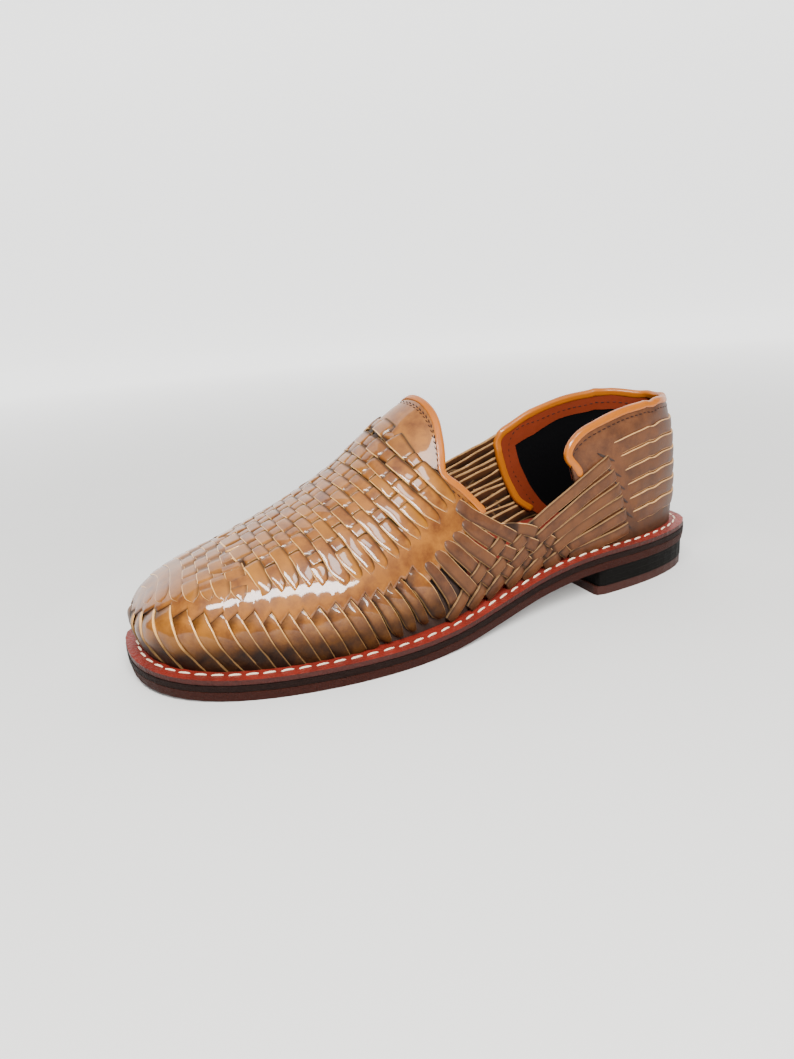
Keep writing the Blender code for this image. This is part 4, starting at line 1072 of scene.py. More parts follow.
# Toe straps, on both sides: each is as wide as a share of the way from its rear edge to the one before, less
# its gap, and starts from a tip under the band.
def buildToeStraps():
    made = Gather()
    edges = [toeStrap["first"]] + toeStraps
    for side in (1, -1):
        for k in range(len(toeStraps)):
            front, rear = (curveThrough(edge, 9) for edge in edges[k:k + 2])
            t = rear[:, 1]
            frontW = np.interp(t, front[::-1, 1], front[::-1, 0])
            frontW = np.where(t > front[0, 1], front[0, 0] - 1.0, frontW)
            way = np.linalg.norm(roundSkin(rear[:, 0], t) - roundSkin(frontW, t), axis=-1)
            wide = way * toeStrap["cover"] - toeStrapGap[k]
            run = runAlong(rear)
            if k > 14:      # the last ones narrow towards the welt
                wide = wide * np.interp(run / run[-1], [0, 0.7, 0.92, 1.0], [1, 1, 0.82, 0.5])
            wide = np.r_[wide[0] * 0.8, wide]
            tip = rear[0] + unit(rear[0] - rear[1]) * toeStrap["tip"]
            low = np.interp(np.r_[-2.6, run], [-2.6, 0, 2.0, 5.0, 8.0, run[-1] - 4, run[-1]],
                            [-1.9, -1.25, -0.75, -0.15, 0.05, 0.0, -0.5 if k < 15 else -1.0])
            widths = (0.05, wide) if side > 0 else (wide, 0.05)
            pad, tilt = (toeStrap[key][k >= toeStrap["side"]] for key in ("pads", "tilts"))
            rows = strapRows(np.vstack([tip, rear]) * (side, 1), *widths, low, toeStrap["thick"], pad)
            phase = rng.uniform(0, 6, 3)
            # how dark the painted shade towards the welt is, and how far up it reaches
            shadeStrength, shadeReach = np.interp(k, [6, 15], [1.05, 0.85]), np.interp(k, [6, 15], [25.0, 21.5])

            # two faint waves, one of them slanting across the strap
            def lift(s, width):
                return 0.12 * np.sin(s / 3.3 + phase[0]) + 0.10 * np.sin(s / 1.7 + width / 1.5 + phase[1])

            # painted shade towards the welt, where the strap faces down away from the light, along the front
            # edge and just below the tip
            def stain(s, across):
                towardWelt = np.clip((s - s.max() + shadeReach) / 14.0, 0, 1)
                nearTip = np.exp(-np.maximum(s - 3.0 - 2.6 * (1 + across * side), 0) / 1.1)
                nearFront = rise(across * side, 0.42, 0.68)
                return np.clip(shadeStrength * towardWelt + 0.7 * nearFront + 0.65 * nearTip, 0, 1)

            strap(made, roundSkin, rows, 1, rng.uniform(0.1, 0.7), stain, count=max(14, int(run[-1] / 0.8)),
                  lift=lift, tilt=-tilt * side)
    return made.finish("toe_straps", "upper")


# Braided sides. Side straps run down and back from the band: tip, then middle line and half width, as
# (r, t, half).
sideStraps = [
    [(0.5, 45.6, 0.5), (6.0, 41.0, 2.0), (12.0, 35.8, 2.4), (19.5, 31.0, 2.7), (27.0, 27.9, 2.9),
     (35.0, 24.0, 3.0), (42.5, 18.6, 3.0), (48.5, 13.2, 3.0), (54.0, 8.0, 3.0), (58.5, 3.0, 2.6)],
    [(-6.6, 55.0, 0.5), (-4.6, 53.0, 2.2), (-2.0, 50.5, 3.0), (3.8, 43.8, 3.2), (10.6, 37.8, 3.1),
     (15.8, 33.3, 3.1), (21.6, 28.4, 3.2), (28.2, 22.6, 3.2), (35.4, 17.2, 3.2), (41.6, 12.6, 3.2),
     (46.0, 8.6, 3.1), (50.5, 3.5, 2.6)],
    [(-1.3, 43.6, 0.4), (0.2, 41.2, 2.2), (3.2, 37.3, 3.0), (8.4, 31.8, 3.1), (14.5, 25.8, 3.1),
     (21.4, 19.2, 3.1), (28.2, 13.8, 3.1), (33.4, 9.2, 3.1), (37.5, 4.0, 2.6)],
    [(-6.8, 40.9, 0.4), (-5.6, 38.2, 2.2), (-2.4, 34.4, 3.0), (2.0, 29.2, 3.1), (8.2, 22.8, 3.1),
     (14.2, 16.6, 3.1), (19.8, 11.4, 3.1), (25.0, 6.2, 2.9), (27.5, 2.5, 2.5)],
    [(-11.6, 38.2, 0.4), (-10.4, 35.6, 2.2), (-7.4, 31.8, 3.0), (-3.0, 26.4, 3.1), (3.0, 18.8, 3.1),
     (8.4, 12.2, 3.1), (12.6, 7.0, 2.9), (15.0, 3.0, 2.6)],
    [(-17.4, 35.7, 0.4), (-16.0, 33.0, 2.3), (-13.2, 29.0, 3.1), (-9.2, 23.2, 3.2), (-3.2, 15.0, 3.2),
     (1.2, 8.6, 3.1), (4.0, 3.6, 2.7)],
    [(-23.2, 32.6, 0.4), (-22.0, 30.0, 2.0), (-19.2, 25.4, 2.6), (-15.6, 19.0, 2.8), (-12.0, 11.8, 2.8),
     (-10.0, 6.6, 2.8), (-8.6, 2.4, 2.6)]]
# counter straps run forward and down from the counter; middle line, as (r, t)
counterStraps = [
    [(26.0, 28.6), (23.0, 27.0), (18.0, 24.3), (11.4, 20.9), (5.4, 16.6), (0.0, 13.2), (-6.4, 8.0),
     (-14.0, 1.6)],
    [(86.0, 44.0), (82.4, 42.6), (69.0, 36.3), (64.0, 34.0), (50.0, 28.6), (38.4, 24.1), (31.5, 20.8),
     (25.2, 18.3), (18.4, 14.8), (11.8, 11.9), (5.0, 7.2), (-2.0, 2.2)],
    [(89.5, 36.6), (85.8, 35.2), (69.6, 28.6), (64.0, 26.0), (52.0, 21.2), (41.0, 16.8), (31.7, 13.4),
     (25.4, 10.6), (16.0, 6.6), (8.5, 2.6)],
    [(92.5, 29.3), (89.0, 28.0), (67.0, 20.0), (55.0, 15.7), (44.7, 11.7), (37.6, 8.8), (28.0, 5.2),
     (21.0, 2.2)],
    [(94.6, 22.2), (90.2, 21.3), (70.2, 15.4), (64.0, 13.4), (50.2, 8.3), (40.0, 4.8), (31.0, 1.2)],
    [(96.8, 14.8), (92.7, 14.0), (76.4, 9.7), (64.0, 6.8), (52.6, 4.1), (44.0, 2.0)],
    [(98.6, 7.0), (95.8, 6.4), (79.0, 3.6), (60.0, 1.4)]]
braid = {
    "thick": 1.05, "over": 0.25, "under": -0.95, "half": 3.9, "soft": 2.0,
    # for each set: rows and steps along a strap, 1 if it goes over where the two straps' numbers add up to an
    # odd sum, the way before its first crossing over which it settles and by how much, its wave, padding and
    # tilt, and the height of its underside by run, for its first two straps and for the others
    "side": {
        "rows": 26, "steps": 300, "over": 1, "before": 8, "sink": 0.25, "wave": 4.0, "pad": 0.28, "tilt": 0.0,
        "firstEnds": ([0, 3, 7, 10], [-1.7, -1.5, 0.1, 0.5]),
        "ends": ([0, 3, 7, 10], [-0.9, 0.1, 0.5, 0.5]),
    },
    "counter": {
        "rows": 30, "steps": 400, "over": 0, "before": 9, "sink": 0.3, "wave": 5.0, "pad": 0.196,
        "tilt": 0.14,
        "firstEnds": ([0, 1.3, 3, 9], [-1.0, -0.1, 0.2, 0.55]),
        "ends": ([0, 1.3, 3, 9], [-1.0, -0.1, 0.2, 0.55]),
    },
}


# the step along a first middle line at which it crosses a second one, or None
def crossingStep(first, second):
    gap = np.hypot(first[:, None, 0] - second[None, :, 0], first[:, None, 1] - second[None, :, 1])
    i, j = np.unravel_index(np.argmin(gap), gap.shape)
    return i if gap[i, j] < 0.5 else None


# a line of the braid as it lies on one side: on the medial side two soft bumps along r draw it out upwards
def onSide(rows, side):
    rows = np.array(rows, float)
    if side < 0:
        r = rows[:, 0]
        rows[:, 1] *= 1 + 0.62 * np.exp(-((r - 34.0) / 26.0) ** 2) + 0.16 * np.exp(-((r - 75.0) / 26.0) ** 2)
    return rows


# One side's straps of one set, braided with the middle lines of the other set. A strap rides up or dives at
# each crossing, and has painted shade where it dives, along one edge and towards its lower end.
def braidSet(made, side, lines, others, look):
    skin = sideSkin(side)
    for i, line in enumerate(lines):
        track = curveThrough(onSide(line, side), look["steps"])
        run = runAlong(skin(*track.T[:2]))
        steps = enumerate(crossingStep(track, other) for other in others)
        crossed = [((i + j) % 2 == look["over"], run[step]) for j, step in steps if step is not None]
        overs, unders = ([at for over, at in crossed if over == kind] for kind in (True, False))
        settled = min(overs + unders + [run[-1]]) - look["before"]
        rows = curveThrough(onSide(line, side), look["rows"])
        rowRun = np.interp(np.linspace(0, 1, look["rows"]), np.linspace(0, 1, look["steps"]), run)
        if rows.shape[1] > 2:
            half = rows[:, 2]
        else:
            half = np.interp(rowRun, [0, 4, run[-1] - 3, run[-1]], [3.05, 3.05, 2.9, 2.4])
        low = np.interp(rowRun, *look["firstEnds" if i < 2 else "ends"])
        rows = strapRows(rows[:, :2], half, half, low, braid["thick"], look["pad"])
        phase = rng.uniform(0, 6, 3)

        # up in some windows and down in the others, sunk once settled, with a faint wave
        def lift(s, width):
            up, dive = (windows(s, places, braid["half"], braid["soft"]) for places in (overs, unders))
            near = np.clip((s - settled) / 6, 0, 1)
            wave = 0.10 * np.sin(s / look["wave"] + phase[0])
            return braid["over"] * up + braid["under"] * dive - look["sink"] * near + wave

        # painted shade in the windows where it dives, along one edge and at its lower end
        def stain(s, across):
            hidden = 0.9 * windows(s, unders, braid["half"] + 0.2, 1.0) + 0.75 * rise(across, 0.7, 0.9)
            return np.clip(hidden + 0.6 * np.clip((s - run[-1] + 7) / 7, 0, 1), 0, 1)

        strap(made, skin, rows, side, rng.uniform(0.2, 0.8), stain, lift=lift, tilt=look["tilt"] * side)


# the braid of side straps and counter straps, on both sides
def buildBraid():
    sideMade, counterMade = Gather(), Gather()
    for side in (1, -1):
        sideTracks, counterTracks = ([curveThrough(onSide(line, side), braid[key]["steps"]) for line in lines]
                                     for key, lines in (("side", sideStraps), ("counter", counterStraps)))
        braidSet(sideMade, side, sideStraps, counterTracks, braid["side"])
        braidSet(counterMade, side, counterStraps, sideTracks, braid["counter"])
    return sideMade.finish("side_straps", "upper"), counterMade.finish("counter_straps", "upper")


# The counter, the tongue and everything that follows the mouth, on columns down the wall from the mouth.
columnShares = np.linspace(0, 1, 120)


# columns down the wall from places round the mouth: their points on the mouth, their ways to the foot in
# plan, and the run down the skin at each share of the way
def wallColumns(at):
    rim = mouth(at)
    way = footAt(at) - rim
    plan = rim[:, None] + way[:, None] * columnShares[None, :, None]
    lengths = np.linalg.norm(np.diff(lastPoint(plan[..., 0], plan[..., 1]), axis=1), axis=2)
    return rim, way, np.c_[np.zeros(len(at)), np.cumsum(lengths, axis=1)]


# plan of a point on the upper's wall: share round the mouth, and millimetres down from the mouth's edge
def wallPlan(at, down):
    at, down = np.broadcast_arrays(np.asarray(at, float), np.asarray(down, float))
    unique, keys = np.unique(np.round(at.ravel(), 7), return_inverse=True)
    rim, way, run = wallColumns(unique)
    share = np.empty(at.size)
    for k in range(len(unique)):
        share[keys == k] = np.interp(down.ravel()[keys == k], run[k], columnShares)
    return (rim[keys] + way[keys] * share[:, None]).reshape(*at.shape, 2)


# the same point in space, and some way off the wall along its normal
def wall(at, down, off):
    plan = wallPlan(at, down)
    x, y = plan[..., 0], plan[..., 1]
    return lastPoint(x, y) + skinNormal(lastPoint, x, y, 0.35) * np.asarray(off, float)[..., None]


# the wall's height on the skin at places round the mouth
tablePlaces = np.linspace(0.3, 1.7, 141)
lengthTable = (tablePlaces, wallColumns(tablePlaces)[2][:, -1])
counter = {"front": 0.566, "out": 0.15, "thick": 1.1}
# the medial front edge slants back on its way down: down from the mouth, and share round the mouth
medialEdge = np.array([(0.0, 0.500), (6.0, 0.502), (19.0, 0.527), (34.0, 0.560), (49.0, 0.600), (58.0, 0.648),
                       (66.0, 0.69)])


# Columns that fan from straight ones at the heel to the slanting front edge on the medial side: their
# points' places round the mouth, and depths below it from "top" down to the foot.
def fanned(first, columns, rows, back=0.0, top=0.4):
    share = np.linspace(0, 1, rows)
    edge = 2 - np.interp(share * 64.0, *medialEdge.T) - back
    start = np.linspace(first, edge[0], columns)[:, None]
    lean = np.clip((np.linspace(0, 1, columns)[:, None] - 0.72) / 0.28, 0, 1) ** 1.5
    at = start + lean * (edge - edge[0])
    return at, top + (np.interp(at, *lengthTable) - top) * share


# the counter: a sheet round the heel with a faint ripple, darker and duller towards the foot
def buildCounter():
    made = Gather()
    at, down = fanned(counter["front"], 260, 50)
    off = counter["out"] + 0.12 * np.sin(down / 7.0 + at * 9) * np.sin(at * 23.0)
    slab(made, wall(at, down, off), wall(at, down, off - counter["thick"]), cut=0.0, tone=0.45,
         stain=0.45 * np.clip((down - 46) / 16, 0, 1), along=at * 0.25, across=down * 0.001)
    return made.finish("counter", "upper")


# straps round the back of the heel: millimetres down from the mouth, and start on the lateral side
heelStraps = {
    "rows": [(14.0, 0.745), (22.0, 0.752), (30.0, 0.757), (38.0, 0.762), (46.0, 0.768), (54.0, 0.775)],
    "half": 3.7, "thick": 1.0, "pad": 0.2,
}


# heel straps: each as long on the medial side, with its ends let into the counter
def buildHeelStraps():
    made = Gather()
    count = 40
    fromEnd = np.minimum(np.arange(count), np.arange(count)[::-1])
    low = np.interp(fromEnd, [0, 1, 3], [-1.3, -0.5, -0.15])
    for down, start in heelStraps["rows"]:
        at = np.linspace(start, 2 - start, count)
        drop = down + 2.4 * np.clip((0.86 - np.minimum(at, 2 - at)) / 0.1, 0, 1)
        rows = strapRows(wallPlan(at, drop), heelStraps["half"], heelStraps["half"], low, heelStraps["thick"],
                         heelStraps["pad"])
        phase = rng.uniform(0, 6)

        # a faint wave
        def lift(s, width):
            return 0.08 * np.sin(s / 6.0 + phase)

        # dark along the upper edge
        def stain(s, across):
            return 0.6 * np.clip(-across - 0.5, 0, 1)

        strap(made, lastPoint, rows, 1, rng.uniform(0.3, 0.7), stain, lift=lift, tilt=-0.32)
    return made.finish("heel_straps", "upper")


# the slits that the strap ends go through: from and to, as (r, t), on both sides
slits = [
    [(78.6, 48.6), (83.0, 46.0), (88.6, 43.2)],
    [(84.0, 40.2), (88.0, 37.4), (92.6, 34.6)],
    [(88.6, 32.4), (91.4, 30.2), (95.0, 27.6)],
    [(90.6, 25.4), (93.4, 23.2), (97.0, 20.4)],
    [(92.6, 18.6), (96.0, 15.4), (100.6, 11.8)],
    [(96.0, 9.8), (98.0, 7.8), (100.4, 5.6)]]
slit = {"half": 0.62, "sunk": 0.3, "thick": 0.62}


# slits, as dark slivers of painted shade just proud of the counter
def buildSlits():
    made = Gather()
    half = slit["half"] * np.sin(np.linspace(0.25, np.pi - 0.25, 14)) ** 0.6
    for side in (1, -1):
        for line in slits:
            low = counter["out"] - slit["sunk"]
            rows = strapRows(curveThrough(line, 14), half, half, low, slit["thick"], 0.0)
            strap(made, sideSkin(side), rows, side, 0.2, lambda s, across: 1.0)
    return made.finish("counter_slits", "upper")


# straps that fill the medial side under the mouth's edge, running forward from the counter
medialStraps = {
    "first": 2.9, "pitch": 4.6, "count": 13, "half": 3.05, "front": 0.285, "thick": 0.9, "pad": 0.2,
}


# Medial straps: each starts under the counter's front edge, leans outwards, waves, sags towards the front and
# ends under the tongue.
def buildMedialStraps():
    made = Gather()
    steps = np.arange(26)
    share = steps / 25
    low = np.interp(steps, [0, 2, 5, 20, 25], [-1.5, -1.4, -0.7, -0.7, -1.6])
    for k in range(medialStraps["count"]):
        down = medialStraps["first"] + medialStraps["pitch"] * k
        rear = np.interp(down, *medialEdge.T) + 0.035
        at = -np.linspace(rear, medialStraps["front"] + 0.003 * k, 26)
        wave = 0.7 * np.sin(share * np.pi * (2 + 0.3 * (k % 3)) + k * 2.0)
        sag = (2.0 + 0.35 * k) * np.clip(share * 1.6 - 0.6, 0, 1)
        half = medialStraps["half"] * (0.94 + 0.16 * np.sin(share * 6 + k * 1.7))
        rows = strapRows(wallPlan(at, down + wave + sag), half, half, low, medialStraps["thick"],
                         medialStraps["pad"])
        phase = rng.uniform(0, 6)

        # tucked under along one edge near the counter, then two waves
        def lift(s, width):
            free = np.clip((s - 6.0) / 5.0, 0, 1)
            tucked = -0.27 * width * (1 - free)
            return tucked + 0.35 * np.sin(s / 4.5 + phase) * free + 0.12 * np.sin(s / 2.1 + width)

        # painted shade all over, as the straps stand in shadow, darkest in a soft line about half way to one
        # edge
        def stain(s, across):
            return np.clip(0.35 + 0.75 * np.exp(-((across - 0.55) / 0.45) ** 2), 0, 1)

        strap(made, lastPoint, rows, 1, rng.uniform(0.3, 0.9), stain, lift=lift, tilt=0.8)
    return made.finish("medial_straps", "upper")


# the tongue's height off the last, thickness, front line as y, how dull and dark its flesh side is, and its
# ends round the mouth
tongue = {"out": 0.55, "thick": 1.0, "front": -24.0, "under": 0.85, "medial": -0.335, "lateral": 0.325}


# The solid tongue: each line runs from the mouth's edge forward to the front line. Its height is even, with
# soft creases, and drops towards the front line as a square.
def buildTongue():
    made = Gather()
    at = np.linspace(tongue["medial"], tongue["lateral"], 90)
    rim = mouth(at)
    slant = 17.0 * np.clip((np.abs(at) - 0.10) / 0.16, 0, 1) ** 1.3 - 10.0 * rise(-at, 0.08, 0.2)
    frontX = rim[:, 0] * (0.82 + 0.26 * rise(-at, 0.14, 0.24))
    front = np.c_[frontX, np.minimum(tongue["front"] + slant, rim[:, 1] - 3.0)]
    share = np.linspace(0, 1, 40)
    plan = rim[:, None] + (front - rim)[:, None] * share[None, :, None]
    x, y = plan[..., 0], plan[..., 1]
    puff = 0.25 * np.sin(x / 7.0) * np.sin(y / 6.0 + 1) + 0.12 * np.sin(y / 2.9 + x / 5)
    h = tongue["out"] + puff * np.sin(share * np.pi) - 0.9 * np.clip((share - 0.86) / 0.14, 0, 1) ** 2
    on, out = lastPoint(x, y), skinNormal(lastPoint, x, y, 0.35)
    slab(made, on + out * h[..., None], on + out * (h - tongue["thick"])[..., None], cut=0.0, tone=0.55,
         stain=np.array([0.0, tongue["under"]])[:, None, None], along=x * 0.001, across=y * 0.001)
    return made.finish("tongue", "upper")


# Binding, facing and lining. The bindings follow paths of (share round the mouth, millimetres below its
# edge); their folded section has a half width outside and inside, a height and a depth.
binding = {
    "half": 1.75, "crown": 1.55, "depth": 1.9, "inside": 1.0,
    "tongue": [(-0.335, 0), (-0.2, 0), (0.0, 0), (0.2, 0), (0.335, 0)],
    "counter": [
        (0.569, 0), (0.65, 0), (0.8, 0), (1.0, 0), (1.2, 0), (1.35, 0), (1.44, 0), (1.478, 0), (1.492, 1.2),
        (1.4985, 4.5), (1.492, 10.0), (1.474, 19.0), (1.440, 34.0), (1.402, 48.0), (1.36, 56.0)],
}


# A folded strip: its U section carried along the wall's edge. A point of the section lies across x the
# wall's normal plus up x the way from the wall to its edge, off a centre some depth inside the skin.
def buildBinding(name, path, node, deep):
    made = Gather()
    count, near = 260, 150
    at, down = (curveThrough(np.array(path) * (150.0, 1.0), count) / (150.0, 1.0)).T
    down = np.maximum(down, 0)
    x, y = wallPlan(at, down).T
    edge, normal = lastPoint(x, y), skinNormal(lastPoint, x, y, 0.35)
    away = unit(np.cross(normal, unit(np.gradient(edge, axis=0))))
    below = lastPoint(*wallPlan(at[:near], down[:near] + 2.0).T)
    if np.mean(((edge[:near] - below) * away[:near]).sum(-1)) < 0:
        away = -away
    half, depth, inside = binding["half"], binding["depth"], binding["inside"]
    turn = np.radians(np.linspace(-8, 188, 15))
    section = np.vstack([
        [(half - 0.25, -depth), (half, -depth + 0.4), (half, -depth / 2)],
        np.c_[half * np.cos(turn), 0.3 + binding["crown"] * np.sin(turn)],
        [(-half, -depth / 2), (-half, -depth + 0.4), (-half + 0.25, -depth), (-inside, -depth),
         (-inside, 0.2), (0.0, 0.5), (inside, 0.2), (inside, -depth)]])
    run = runAlong(edge)
    fromEnd = np.minimum(np.arange(count), np.arange(count)[::-1])
    swell = 1 + 0.03 * np.sin(run / 3.1) + 0.025 * np.sin(run / 7.7 + 1)
    sized = section[None] * (swell * np.interp(fromEnd, [0, 1, 3], [0.55, 0.9, 1.0]))[:, None, None]
    centre = edge - normal * (deep + 1.2 * rise(down, 3.0, 10.0))[:, None]
    points = centre[:, None] + normal[:, None] * sized[..., :1] + away[:, None] * sized[..., 1:]
    i, j = count // 2, 10
    made.add(points, facingOut(tubeQuads(count, len(section)), points, i, j, away[i]),
             cut=(section[:, 1] < -depth + 0.3) * 1.0, tone=0.5, along=run[:, None] * 0.001,
             across=section[:, 1] * 0.001)
    return made.finish(name, node, replacing=node)


# the facing between two places round the mouth, and the rear edge of the strip down the medial front edge
facing = {
    "wide": 12.5, "top": 9.5, "off": -1.75, "thick": 0.5, "first": 0.590, "last": 1.492,
    "rear": np.array([(0, 0.545), (13, 0.570), (25.5, 0.593), (41, 0.632), (54, 0.675), (62, 0.705)]),
}


# The facing inside the mouth, and its strip down the medial front edge to the insole: each is bowed inwards
# between its edges by a sine, with a faint wave.
def buildFacing():
    made = Gather()

    # one strip, further off the wall by 0.18 x the sine across it
    def strip(at, down, off, **runs):
        off = off - 0.18 * np.sin(np.linspace(0, np.pi, down.shape[1]))
        outer, inner = wall(at, down, off + 0.1), wall(at, down, off - facing["thick"])
        slab(made, outer, inner, cut=0.0, tone=0.5, **runs)

    at = np.linspace(facing["first"], facing["last"], 260)[:, None]
    fromEnd = np.minimum(at - facing["first"], facing["last"] - at)
    wide = np.interp(at, [1.28, 1.36], [facing["top"], facing["wide"]])
    wide = wide * np.interp(fromEnd, [0, 0.015], [0.9, 1.0])
    down = 0.6 + wide * np.linspace(0, 1, 12)
    strip(at, down, facing["off"] - 0.05 * np.sin(at * 90), along=at * 0.25, across=down * 0.001)
    down = np.linspace(2.0, 62.0, 60)[:, None]
    left, right = 2.0 - np.interp(down, *medialEdge.T) - 0.002, 2.0 - np.interp(down, *facing["rear"].T)
    at = left + (right - left) * np.linspace(0, 1, 14)
    down = np.broadcast_to(down, at.shape)
    strip(at, down, facing["off"] - 0.12 - 0.05 * np.sin(down / 3.0), along=down * 0.001, across=at * 0.25)
    return made.finish("facing", "counter_binding")


lining = {"front": 0.62, "back": 0.03, "top": 1.0, "outer": -1.0, "inner": -1.9}


# the counter's lining: a plain sheet inside it, a little shorter all round
def buildLining():
    made = Gather()
    at, down = fanned(lining["front"], 180, 30, back=lining["back"], top=lining["top"])
    slab(made, wall(at, down, lining["outer"]), wall(at, down, lining["inner"]), cut=0.0, tone=0.5,
         along=at * 0.25, across=down * 0.001)
    return made.finish("counter_lining", "upper")


# A row of stitches: each a short cord with round ends, lying in the surface at both ends. Along it from -1 to
# 1 its radius falls as sqrt(1 - |t| cubed), and its arch as 1 - |t| to the power 2.4.
def stitches(gather, centres, alongs, ups, length, thick, high, slant):
    rings, around = 9, 8
    t = np.linspace(-1, 1, rings)[:, None]
    turn = np.linspace(0, 2 * np.pi, around, endpoint=False)
    alongs = unit(alongs + unit(np.cross(alongs, ups)) * slant)
    sides = unit(np.cross(alongs, ups))
    radius = thick * np.sqrt(np.clip(1 - np.abs(t) ** 3.0, 0.0, 1)) + 0.02
    arch = high * (1 - np.abs(t) ** 2.4) - thick * 0.5
    quads = tubeQuads(rings, around)
    steps = ((t * length / 2)[..., None], (arch + radius * 0.8 * np.sin(turn))[..., None],
             (radius * np.cos(turn))[..., None])
    for centre, *axes in zip(centres, alongs, ups, sides):
        points = centre + sum(axis * step for axis, step in zip(axes, steps))
        gather.add(points, quads, cut=0.0, tone=0.5, along=t * length * 0.0005, across=turn * 0.0002)


weltThread = {"pitch": 7.2, "long": 5.9, "thick": 0.50, "high": 0.38, "inset": 5.2, "slant": -0.12}


# the welt's stitches, at even steps along a ring inset from the sole's edge, each a little out of place
def buildWeltStitches():
    made = Gather()
    ring = insetRing(soleRing(1440), weltThread["inset"])
    closed = np.vstack([ring, ring[:1]])
    run = runAlong(closed)
    count = int(run[-1] / weltThread["pitch"])
    s = (np.arange(count) + 0.5) * run[-1] / count + rng.normal(0, 0.10, count)
    at, ahead = (np.stack([np.interp(s + more, run, closed[:, k]) for k in (0, 1)], -1)
                 for more in (0.0, 1.0))
    at, ahead = np.c_[at, weltTop(at[:, 1])], np.c_[ahead, weltTop(ahead[:, 1])]
    alongs = unit(ahead - at)
    ups = unit((0, 0, 1.0) - alongs * alongs[:, 2:])
    stitches(made, at + (0, 0, 0.05), alongs, ups, weltThread["long"], weltThread["thick"],
             weltThread["high"], weltThread["slant"])
    return made.finish("welt_stitches", "welt", sharp=None)


# a row of stitches along a path of (share round the mouth, millimetres down), some way off the wall; where
# that is a depth, the stitches face inwards
def wallStitches(made, path, pitch, length, thick, high, off, slant):
    path = curveThrough(np.array(path, float) * (150.0, 1.0), 400) / (150.0, 1.0)
    line = wall(path[:, 0], path[:, 1], off)
    run = runAlong(line)
    s = np.arange(pitch, run[-1] - pitch, pitch)
    centres, ahead = (np.stack([np.interp(s + more, run, column) for column in line.T], -1)
                      for more in (0.0, 0.5))
    x, y = wallPlan(*(np.interp(s, run, column) for column in path.T)).T
    ups = skinNormal(lastPoint, x, y, 0.35) * (1 if off > 0 else -1)
    stitches(made, centres, unit(ahead - centres), ups, length, thick, high, slant)


# a path at one depth below the mouth
def level(first, last, down):
    return [(at, down) for at in np.linspace(first, last, 9)]


# seams: two round the tongue's binding, one on the counter below its binding, and one inside on the facing
seams = [
    {"path": level(-0.31, 0.318, 4.0), "pitch": 2.9, "length": 2.3, "thick": 0.30, "high": 0.12, "off": 0.62,
     "slant": 0.25},
    {"path": level(-0.31, 0.318, 5.1), "pitch": 2.9, "length": 1.9, "thick": 0.26, "high": 0.08, "off": 0.60,
     "slant": -0.2},
    {"path": level(0.605, 1.480, 4.2), "pitch": 3.1, "length": 2.3, "thick": 0.28, "high": 0.12, "off": 0.25,
     "slant": 0.1},
    {"path": level(0.60, 1.45, 6.0) + [(1.455, 9.0), (1.452, 14.0), (1.436, 24.0), (1.407, 36.0),
                                       (1.371, 48.0), (1.34, 56.0)],
     "pitch": 3.3, "length": 2.2, "thick": 0.28, "high": 0.12, "off": -2.42, "slant": 0.0},
]


# the stitches of all seams, as one piece
def buildSeams():
    made = Gather()
    for seam in seams:
        wallStitches(made, **seam)
    return made.finish("seam_thread", "upper", sharp=None)


# a piece's own material
def wear(shown, material):
    shown.data.materials.clear()
    shown.data.materials.append(finish[material])


print("woven vamp")
wear(buildCrossStraps(), "vamp_leather")
wear(buildToeCrossStraps(), "vamp_leather")
wear(buildLengthStraps(), "vamp_leather")
wear(buildBand(), "vamp_leather")
wear(buildBase(), "weave_shadow")
wear(buildToeStraps(), "vamp_leather")
print("counter, heel straps, tongue and medial straps")
wear(buildCounter(), "side_leather")
wear(buildHeelStraps(), "side_leather")
wear(buildTongue(), "vamp_leather")
wear(buildMedialStraps(), "side_leather")
wear(buildSlits(), "weave_shadow")
print("braided sides")
for braided in buildBraid():
    wear(braided, "side_leather")
print("trim and stitches")
wear(buildBinding("tongue_binding_folded", binding["tongue"], "tongue_binding", 0.5), "binding_leather")
wear(buildBinding("counter_binding_folded", binding["counter"], "counter_binding", 0.95), "binding_leather")
wear(buildFacing(), "facing_leather")
wear(buildLining(), "lining_cloth")
wear(buildWeltStitches(), "welt_thread")
wear(buildSeams(), "dark_thread")
soleFinishes = {
    "welt": "welt_leather", "insole": "insole_leather", "midsole": "midsole_edge", "outsole": "outsole_edge",
    "heel_block": "heel_stack", "top_lift": "lift_edge",
}
for name, key in soleFinishes.items():
    for place in nodes[name].material_slots:
        place.material = finish[key]

# Floor, lights and camera. The camera stands in the design frame's millimetres.
studio = {
    "floor": 7.0, "reach": 2.0, "bend": 1.2, "glow": 1.9, "aim": (0.04, -0.085, 0.037),
    "azimuth": 69.24, "elevation": 17.49, "roll": -4.5, "lens": 25.84, "camera": (326.5, -143.5, 155.3),
}
# softboxes: the two directions that the long side runs between, reach, width, watts and colour
softboxes = {
    "key_softbox": ((28, 61), (101, 23), 1.15, 0.15, 33, (1.0, 0.98, 0.95)),
    "top_softbox": ((70, 60), (-110, 60), 1.3, 1.2, 3, (1.0, 0.99, 0.97)),
    "side_softbox": ((88, 66), (108, 46), 1.2, 0.26, 7, (0.97, 0.98, 1.0)),
}


